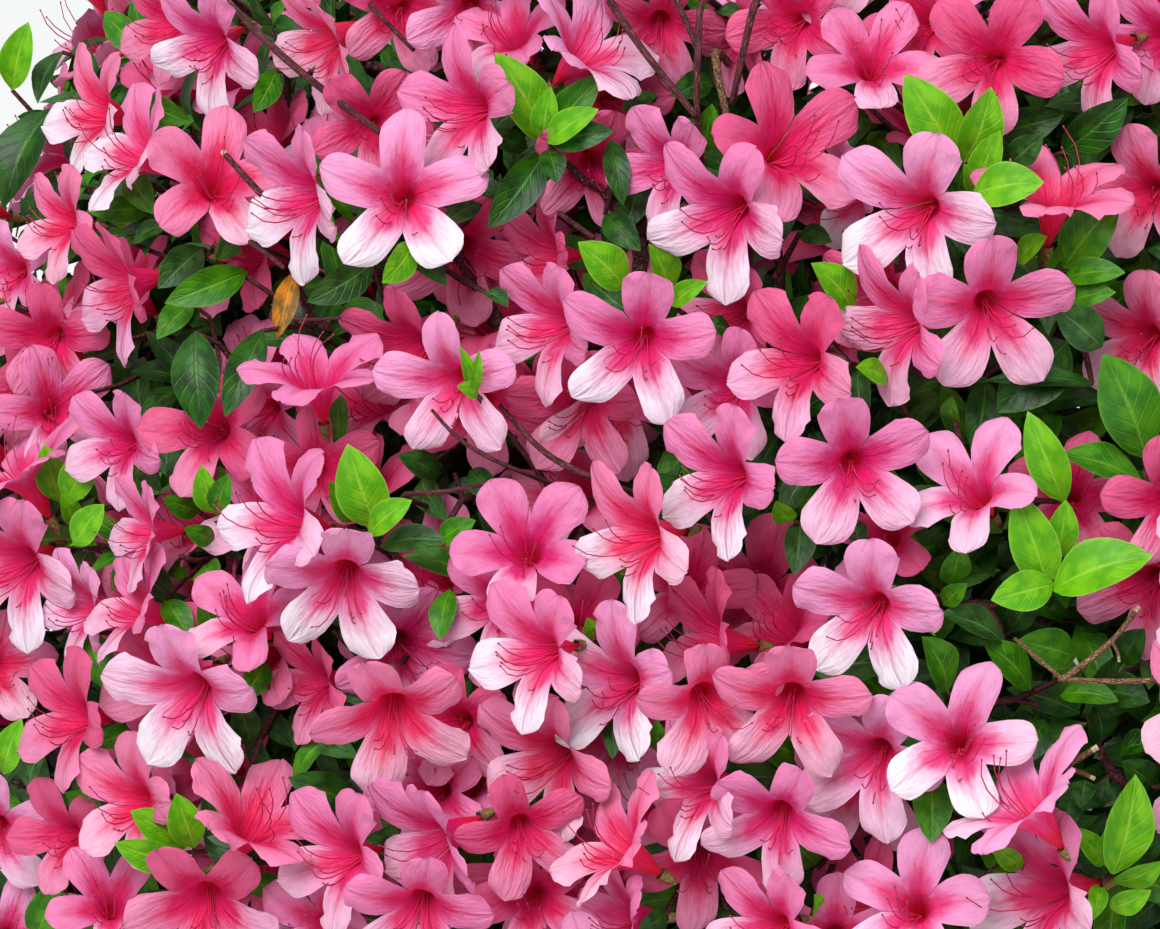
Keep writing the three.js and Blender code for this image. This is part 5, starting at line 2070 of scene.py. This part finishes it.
class Foliage:
    """All the leaves, gathered by kind."""

    TUBE_CLEARANCE = 0.0048  # from the axis of a bloom's tube
    HIDING = 0.03  # how close behind a leaf a bloom counts as hidden by it
    NUDGES = (0, -2, 2, -4, 4, -6, -8, -11, -14)  # millimetres that a leaf may move to pass the petals
    NUDGE_COST = 0.5  # crossings that a millimetre is worth
    RAY_START = 0.0004  # how far behind a leaf the search for hidden blooms starts
    TESTED_MARGIN = 100  # pixels round the picture within which leaves are tested against petals
    TIP_RISE = 0.004  # how much nearer than its middle a leaf's tip is, where the photograph shows it
    SHOWN_DROOP = (0.0, 0.12)
    SHOWN_FOLD = (0.12, 0.4)
    SHARED_SHOOT = 0.012  # how close the feet of leaves on one shoot lie
    LEAFY_COUNT = (7, 10)  # fewest leaves on a shoot without blooms, and one past the most
    BLOOMING_COUNT = (5, 8)
    STRETCHES = ((0.0, 0.006), (0.006, 0.03))  # from the tip, where the upper and the lower leaves sit
    LEAFY_LEAN = 42  # degrees that the upper leaves lean out on a shoot without blooms
    BLOOMING_LEAN = 66
    LOWER_LEAN = 74
    LEAN_SPREAD = 9
    OFF_TWIG = 0.0008  # from the middle of the twig to the foot of a leaf
    YOUNG_SHARE = 0.55  # share of young leaves on a young shoot
    LENGTH = (0.0188, 0.003)  # mean and spread
    LENGTH_LIMITS = (0.012, 0.025)
    YOUNG_LENGTH = (0.0165, 0.002)
    KIND_SHARES = {Green.DARK: 0.5, Green.BLUE: 0.24, Green.FRESH: 0.26}
    HABITS = ((0.1, 0.22, 0.2), (0.22, 0.35, 0.21), (0.02, 0.15, 0.23), (0.3, 0.2, 0.2))  # droop, fold, plump

    def __init__(self, rng: np.random.Generator, tubes: np.ndarray, petals: Heap, shown: Heap) -> None:
        """Cuts the leaf shapes once.

        Args:
            rng: Source of the draws.
            tubes: Places on the blooms' tubes.
            petals: The petals in and near the picture.
            shown: Those of the blooms that the photograph shows.
        """
        self.rng, self.petals, self.shown_things = rng, petals, shown
        self.waiting: list[Batch] = []
        self.tubes = KDTree(len(tubes))
        for index, place in enumerate(tubes):
            self.tubes.insert(place, index)
        self.tubes.balance()
        self.shapes = [LeafShape(5, 2).pattern(*habit) for habit in self.HABITS]
        self.plain_shapes = [LeafShape(3, 2).pattern(*habit) for habit in self.HABITS]
        self.heaps = {kind: Heap() for kind in Green}

    def lay(self, kind: Green, foot: np.ndarray, way: np.ndarray, over: np.ndarray,
            length: np.ndarray, plain: bool) -> None:
        """Adds leaves of one kind to those that wait.

        Args:
            kind: Which kind.
            foot: (n, 3) place of each leaf's foot.
            way: (n, 3) direction from foot to tip.
            over: (n, 3) direction that the upper face looks to.
            length: (n,) length in metres.
            plain: Whether they are cut from fewer faces, deep in the crown.
        """
        turns = frames(way, over) * length[:, None, None]
        choice = self.rng.integers(0, len(self.shapes), len(foot))
        choice[~self.clear(foot, way, length)] = -1
        self.waiting.append(Batch(kind, plain, choice, turns, foot))

    def clear(self, foot: np.ndarray, way: np.ndarray, length: np.ndarray) -> np.ndarray:
        """Whether each leaf passes all the tubes."""
        free = np.ones(len(foot), bool)
        for share in (0.35, 0.65, 1.0):
            spots = foot + way * (length * share)[:, None]
            free &= np.array([self.tubes.find(spot)[2] > self.TUBE_CLEARANCE for spot in spots], bool)
        return free

    def settle(self, view: ViewPoint, crown: Crown) -> None:
        """Lays the leaves that wait, but for those that cross petals or hide a bloom in the picture."""
        parts = ([getattr(batch, part) for batch in self.waiting] for part in ("shape", "turns", "foot"))
        shape, turns, foot = (np.concatenate(part) for part in parts)
        petals, shown, eye = self.petals.tree(), self.shown_things.tree(), view.eye(crown)
        near = view.inside(crown, foot, self.TESTED_MARGIN)
        for c, rough in enumerate(self.plain_shapes):
            rows = np.flatnonzero(near & (shape == c))
            heap = Heap()
            heap.scatter(rough, turns[rows], foot[rows])
            pairs = heap.tree().overlap(petals)
            crossing = np.zeros(len(rows), bool)
            crossing[[face // len(rough.sides) for face, _ in pairs]] = True
            shape[rows[crossing]] = -1
            spots = heap.patterns[0].points.reshape(len(rows), -1, 3)[:, 3:]
            for row, places in zip(rows[~crossing], spots[~crossing], strict=True):
                if self.hides(shown, places, unit(places - eye)):
                    shape[row] = -1
        start = 0
        for batch in self.waiting:
            kept = shape[start:start + len(batch.foot)]
            start += len(batch.foot)
            for c, pattern in enumerate(self.plain_shapes if batch.plain else self.shapes):
                self.heaps[batch.kind].scatter(pattern, batch.turns[kept == c], batch.foot[kept == c])

    def hides(self, shown: BVHTree, places: np.ndarray, ways: np.ndarray) -> bool:
        """Whether something that the photograph shows lies close behind any of the places."""
        starts = places + ways * self.RAY_START
        casts = (shown.ray_cast(Vector(p), Vector(w), self.HIDING) for p, w in zip(starts, ways, strict=True))
        return any(hit[0] for hit in casts)

    def clothe(self, shoots: list[Shoot]) -> None:
        """Puts whorls of leaves on every shoot."""
        for shoot in shoots:
            count = self.rng.integers(*(self.LEAFY_COUNT if shoot.leafy else self.BLOOMING_COUNT))
            self.whorl(shoot, int(count), shoot.young)

    def whorl(self, shoot: Shoot, count: int, young: bool) -> None:
        """The leaves of one shoot.

        Args:
            shoot: The end of a twig.
            count: How many leaves it gets.
            young: Whether the last few are young.
        """
        i = np.arange(count)
        turn = i * GOLDEN_TURN + self.rng.uniform(0, math.tau)
        side = unit(np.cross(shoot.way, self.rng.normal(size=3)))
        around = spin(shoot.way[None], side[None] + 0 * i[:, None], turn)
        upper = i < count * 0.5
        crowded, spread = (self.rng.uniform(*stretch, count) for stretch in self.STRETCHES)
        back = np.where(upper, crowded, spread)
        lean = np.where(upper, self.LEAFY_LEAN if shoot.leafy else self.BLOOMING_LEAN, self.LOWER_LEAN)
        lean = np.radians(lean + self.rng.normal(0, self.LEAN_SPREAD, count))
        way = shoot.way * np.cos(lean)[:, None] + around * np.sin(lean)[:, None]
        foot = shoot.tip - shoot.way * back[:, None] + around * self.OFF_TWIG
        over = unit(shoot.way + WORLD_UP * 0.35 + self.rng.normal(0, 0.18, (count, 3)))
        length = self.rng.normal(*self.LENGTH, count).clip(*self.LENGTH_LIMITS)
        fresh = young & (i < count * self.YOUNG_SHARE)
        length = np.where(fresh, self.rng.normal(*self.YOUNG_LENGTH, count), length)
        kinds = self.rng.choice(list(self.KIND_SHARES), count, p=list(self.KIND_SHARES.values()))
        for kind in self.KIND_SHARES:
            pick = (kinds == kind) & ~fresh
            self.lay(kind, foot[pick], way[pick], over[pick], length[pick], shoot.inner)
        self.lay(Green.YOUNG, foot[fresh], way[fresh], over[fresh], length[fresh], shoot.inner)

    def shown(self, view: ViewPoint, crown: Crown) -> list[Shoot]:
        """Lays the leaves that the photograph shows, and says which shoots carry them.

        Args:
            view: Where the photograph was taken.
            crown: What carries the leaves.

        Returns:
            A shoot for each cluster of leaf feet.
        """
        eye, petals = view.eye(crown), self.petals.tree()
        fine = LeafShape(9, 4)
        feet_all, ways_all = [], []
        for kind, leaves in SEEN_LEAVES.items():
            for leaf in leaves:
                rays = view.ray(np.array([leaf.foot[0], leaf.tip[0]]), np.array([leaf.foot[1], leaf.tip[1]]))
                far = crown.meet(eye, rays).mean() + leaf.deep * 0.001 + BLOOM_SETBACK
                over = unit(view.back + view.up * self.rng.uniform(0.0, 0.5) + self.rng.normal(0, 0.22, 3))
                droop, fold = self.rng.uniform(*self.SHOWN_DROOP), self.rng.uniform(*self.SHOWN_FOLD)
                pattern = fine.pattern(droop, fold, leaf.plump)
                choices = []
                for nudge in self.NUDGES:
                    near = far + nudge * 0.001 + np.array([self.TIP_RISE, -self.TIP_RISE])
                    foot, tip = eye + rays * near[:, None]
                    turns = frames((tip - foot)[None], over[None]) * np.linalg.norm(tip - foot)
                    blade = Heap()
                    blade.scatter(pattern, turns, foot[None])
                    cost = len(blade.tree().overlap(petals)) + abs(nudge) * self.NUDGE_COST
                    choices.append((cost, len(choices), turns, foot, tip))
                _, _, turns, foot, tip = min(choices, key=lambda choice: choice[:2])
                for heap in (self.heaps[kind], self.petals, self.shown_things):
                    heap.scatter(pattern, turns, foot[None])
                feet_all.append(foot)
                ways_all.append(unit(tip - foot))
        feet = np.array(feet_all)
        free = np.ones(len(feet), bool)
        shoots = []
        for i in range(len(feet)):
            if not free[i]:
                continue
            near = (np.linalg.norm(feet - feet[i], axis=1) < self.SHARED_SHOOT) & free
            free &= ~near
            place = feet[near].mean(axis=0)
            lean = np.mean([ways_all[j] for j in np.flatnonzero(near)], axis=0)
            shoots.append(Shoot(place, unit(crown.outward(place) + lean * 0.4)))
        return shoots

    def pieces(self) -> None:
        """Makes a piece for each kind of leaf."""
        for kind, heap in self.heaps.items():
            heap.piece("leaves_" + kind.name.lower(), kind.value.build(), "leaf")


ROOT_DEPTH = 0.06  # how far into the crown a bare twig goes on from its foot
ROOT_RUN = 0.012  # and how far along its own line
TWIG_HALF = 0.44  # half of a twig's thickness in the picture, less its blurred edge
TWIG_SIDES = 8
TWIG_TAPER = (1.15, 0.85)
STUB = (0.0012, 0.0005, 1.04)  # of a cut end: metres before and past the twig's end, and its width


def lay_front_twigs(view: ViewPoint, crown: Crown, twigs: TwigWork) -> None:
    """The bare twigs that cross in front of the blossom, each led back into the crown at its foot.

    Args:
        view: Where the photograph was taken.
        crown: What carries the twigs.
        twigs: Where their tubes are gathered.
    """
    eye = view.eye(crown)
    pale_wood, cut_ends = Heap(), Heap()
    for twig in SEEN_TWIGS:
        course = np.array(twig.course, float)
        rays = view.ray(course[:, 0], course[:, 1])
        share = np.linspace(0, 1, len(course))
        deep = twig.deep + twig.foot_sinks * (1 - share) ** 2 + twig.tip_sinks * share**3
        far = crown.meet(eye, rays) + deep * 0.001 + BLOOM_SETBACK
        line = eye + rays * far[:, None]
        root = line[0] - crown.outward(line[0]) * ROOT_DEPTH + unit(line[0] - line[1]) * ROOT_RUN
        knots = line if twig.forked else np.vstack([root, line])
        t = np.linspace(0, len(knots) - 1, 4 * (len(knots) - 1) + 1)
        path = np.stack([np.interp(t, np.arange(len(knots)), knots[:, i]) for i in range(3)], axis=1)
        for _ in range(3):
            path[1:-1] = (path[:-2] + 2 * path[1:-1] + path[2:]) / 4
        radius = TWIG_HALF * twig.thick / (PICTURE[0] / view.span) * far.mean() / view.distance
        radii = np.linspace(radius * TWIG_TAPER[0], radius * TWIG_TAPER[1], len(path))
        (pale_wood if twig.old else twigs.twigs).add(tube_pattern(path, radii, TWIG_SIDES))
        if not twig.cut:
            continue
        end = unit(path[-1] - path[-2])
        before, past, width = STUB
        stub = np.stack([path[-1] - end * before, path[-1] + end * past])
        cut_ends.add(tube_pattern(stub, np.full(2, radii[-1] * width), TWIG_SIDES))
    pale_wood.piece("old_twigs", Bark.OLD_TWIG.value.build(), "twig_bark", merge=False)
    cut_ends.piece("cut_twig_ends", Bark.CUT_WOOD.value.build(), "twig_bark", merge=False)


# Trunk, stems and boughs with their bark


@dataclass
class WoodyFrame:
    """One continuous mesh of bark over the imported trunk, stems and boughs."""

    cell: float = 0.0026  # size of the skin's faces
    ridge_size: float = 0.011
    ridge_height: float = 0.0016
    crack_size: float = 0.0045
    crack_height: float = 0.0007
    foot_level: float = 0.0014  # height up to which the foot is pressed flat

    def nodes(self) -> list[str]:
        """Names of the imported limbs."""
        return [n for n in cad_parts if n.startswith(("trunk", "stem_", "bough_"))]

    def copy_limbs(self) -> bpy.types.Object:
        """Copies of the limbs joined as one object."""
        copies = []
        for name in self.nodes():
            thing = placed(name + "_bark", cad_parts[name].data.copy())
            merge_doubles(thing, 1e-6)
            copies.append(thing)
        bpy.ops.object.select_all(action="DESELECT")
        for thing in copies:
            thing.select_set(True)
        bpy.context.view_layer.objects.active = copies[0]
        bpy.ops.object.join()
        return copies[0]

    def build(self) -> bpy.types.Object:
        """Makes the piece and hides what it stands for."""
        thing = self.copy_limbs()
        thing.name = thing.data.name = "trunk_and_boughs"
        select_only(thing)
        skin = thing.modifiers.new("skin", "REMESH")
        skin.mode, skin.voxel_size = "VOXEL", self.cell
        bpy.ops.object.modifier_apply(modifier=skin.name)
        ease = thing.modifiers.new("ease", "SMOOTH")
        ease.factor, ease.iterations = 0.5, 5
        bpy.ops.object.modifier_apply(modifier=ease.name)
        reliefs = (
            ("ridges", "CLOUDS", self.ridge_size, self.ridge_height),
            ("cracks", "VORONOI", self.crack_size, self.crack_height),
        )
        for label, kind, size, height in reliefs:
            texture = bpy.data.textures.new(label, kind)
            texture.noise_scale = size
            bump = thing.modifiers.new(label, "DISPLACE")
            bump.texture, bump.strength, bump.mid_level = texture, height, 0.5
            bump.texture_coords = "LOCAL"
            bpy.ops.object.modifier_apply(modifier=label)
        self.flatten_foot(thing)
        bpy.ops.object.shade_smooth()
        thing.data.materials.clear()
        thing.data.materials.append(Bark.TRUNK.value.build())
        settle(thing)
        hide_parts(*self.nodes())
        return thing

    def flatten_foot(self, thing: bpy.types.Object) -> None:
        """Keeps the foot flat on the ground."""
        co = mesh_points(thing.data)
        co[co[:, 2] < self.foot_level, 2] = 0.0
        thing.data.vertices.foreach_set("co", co.ravel())
        thing.data.update()


# Floor and light


class Studio:
    """A plain pale floor and soft light."""

    FLOOR_SIZE = 14
    AIM = (0, 0, 0.3)
    LAMPS = (  # name, place, watts, size and tint
        ("sky_panel", (-0.9, -1.3, 2.7), 100, 1.9, (1.0, 0.985, 0.995)),
        ("side_fill", (2.2, -1.6, 1.4), 16, 1.8, (0.95, 0.97, 1.0)),
        ("back_fill", (0.4, 2.4, 1.8), 30, 1.8, (0.96, 0.98, 1.0)),
    )
    SKY = (0.93, 0.96, 1.0, 1)
    SKY_STRENGTH = 0.5

    def floor(self) -> None:
        """A wide pale floor."""
        bpy.ops.object.select_all(action="DESELECT")
        bpy.ops.mesh.primitive_plane_add(size=self.FLOOR_SIZE, location=(0, 0, 0))
        ground = bpy.context.object
        ground.name = "studio_floor"
        paint = Paint("floor_paper")
        b = paint.board
        place = b.node("ShaderNodeTexCoord").outputs["Object"]
        grain = b.node("ShaderNodeTexNoise", {"Scale": 3.0, "Detail": 2.0, "Vector": place}).outputs["Fac"]
        tone = b.mix(grain, (0.66, 0.67, 0.65, 1), (0.72, 0.73, 0.71, 1))
        skin = b.node("ShaderNodeBsdfPrincipled", {"Base Color": tone, "Roughness": 0.85})
        ground.data.materials.append(paint.ended(skin))
        ground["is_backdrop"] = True

    def lamp(self, name: str, place: tuple, power: float, size: float, tint: tuple) -> None:
        """One soft lamp that looks at the crown."""
        data = bpy.data.lights.new(name, "AREA")
        data.energy, data.size, data.color = power, size, tint
        thing = placed(name, data)
        thing.location = place
        thing.rotation_euler = (Vector(place) - Vector(self.AIM)).to_track_quat("Z", "Y").to_euler()

    def build(self) -> None:
        """Makes the floor, lamps and sky light."""
        self.floor()
        for lamp in self.LAMPS:
            self.lamp(*lamp)
        scene = bpy.context.scene
        world = scene.world = bpy.data.worlds.new("soft_sky")
        world.use_nodes = True
        sky = world.node_tree.nodes["Background"]
        sky.inputs["Color"].default_value = self.SKY
        sky.inputs["Strength"].default_value = self.SKY_STRENGTH
        scene.view_settings.view_transform = "Standard"
        scene.cycles.max_bounces = LIGHT_BOUNCES
        scene.cycles.diffuse_bounces = LIGHT_BOUNCES


def main() -> None:
    """Builds the shrub, the studio and the camera."""
    logging.basicConfig(level=logging.INFO, format="%(message)s")
    rng = np.random.default_rng(SEED)
    crown, view, shape = Crown(), ViewPoint(), Blossom()
    view.build(crown)
    Studio().build()
    WoodyFrame().build()

    fitting = Fitting(shape)
    shown = PicturedBlooms(view, crown, shape).settled(fitting)
    growth = Growth(view, crown, rng)
    outer, outer_tufts = growth.outer(shown)
    fitting.fit(outer, Fitting.PIERCED)
    behind, behind_tufts = growth.behind()
    fitting.fit(behind, Fitting.CROWDED)
    blooms = fitting.kept
    log.info("%d blooms, %d of them from the photograph", len(blooms), len(shown))
    builder = BlossomBuilder(shape, rng)
    builder.petals(blooms)
    builder.stamens(blooms)
    builder.stalks(blooms)

    shoots = gather_shoots(blooms, shape, crown)
    green = outer_tufts.shoots(False) + behind_tufts.shoots(False) + growth.inner().shoots(True)
    tubes = blooms.tube_spots(shape)[:, 1:].reshape(-1, 3)
    leaves = Foliage(rng, tubes, builder.near, builder.shown)
    leaves.clothe(shoots + green)
    laid = leaves.shown(view, crown)
    backing = growth.backing().shoots(True)
    leaves.clothe(backing)
    leaves.settle(view, crown)
    leaves.pieces()
    counts = len(shoots), len(green + backing), len(laid)
    log.info("%d shoots with blooms, %d with leaves only, %d seen", *counts)

    twigs = TwigWork(crown, rng)
    twigs.build(shoots + green + laid + backing)
    lay_front_twigs(view, crown, twigs)
    twigs.pieces()
    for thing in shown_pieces():
        if thing.name.startswith(("branches", "twigs", "leaves_", "blossom_")):
            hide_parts(*crown.masses)


if __name__ == "__main__":
    main()
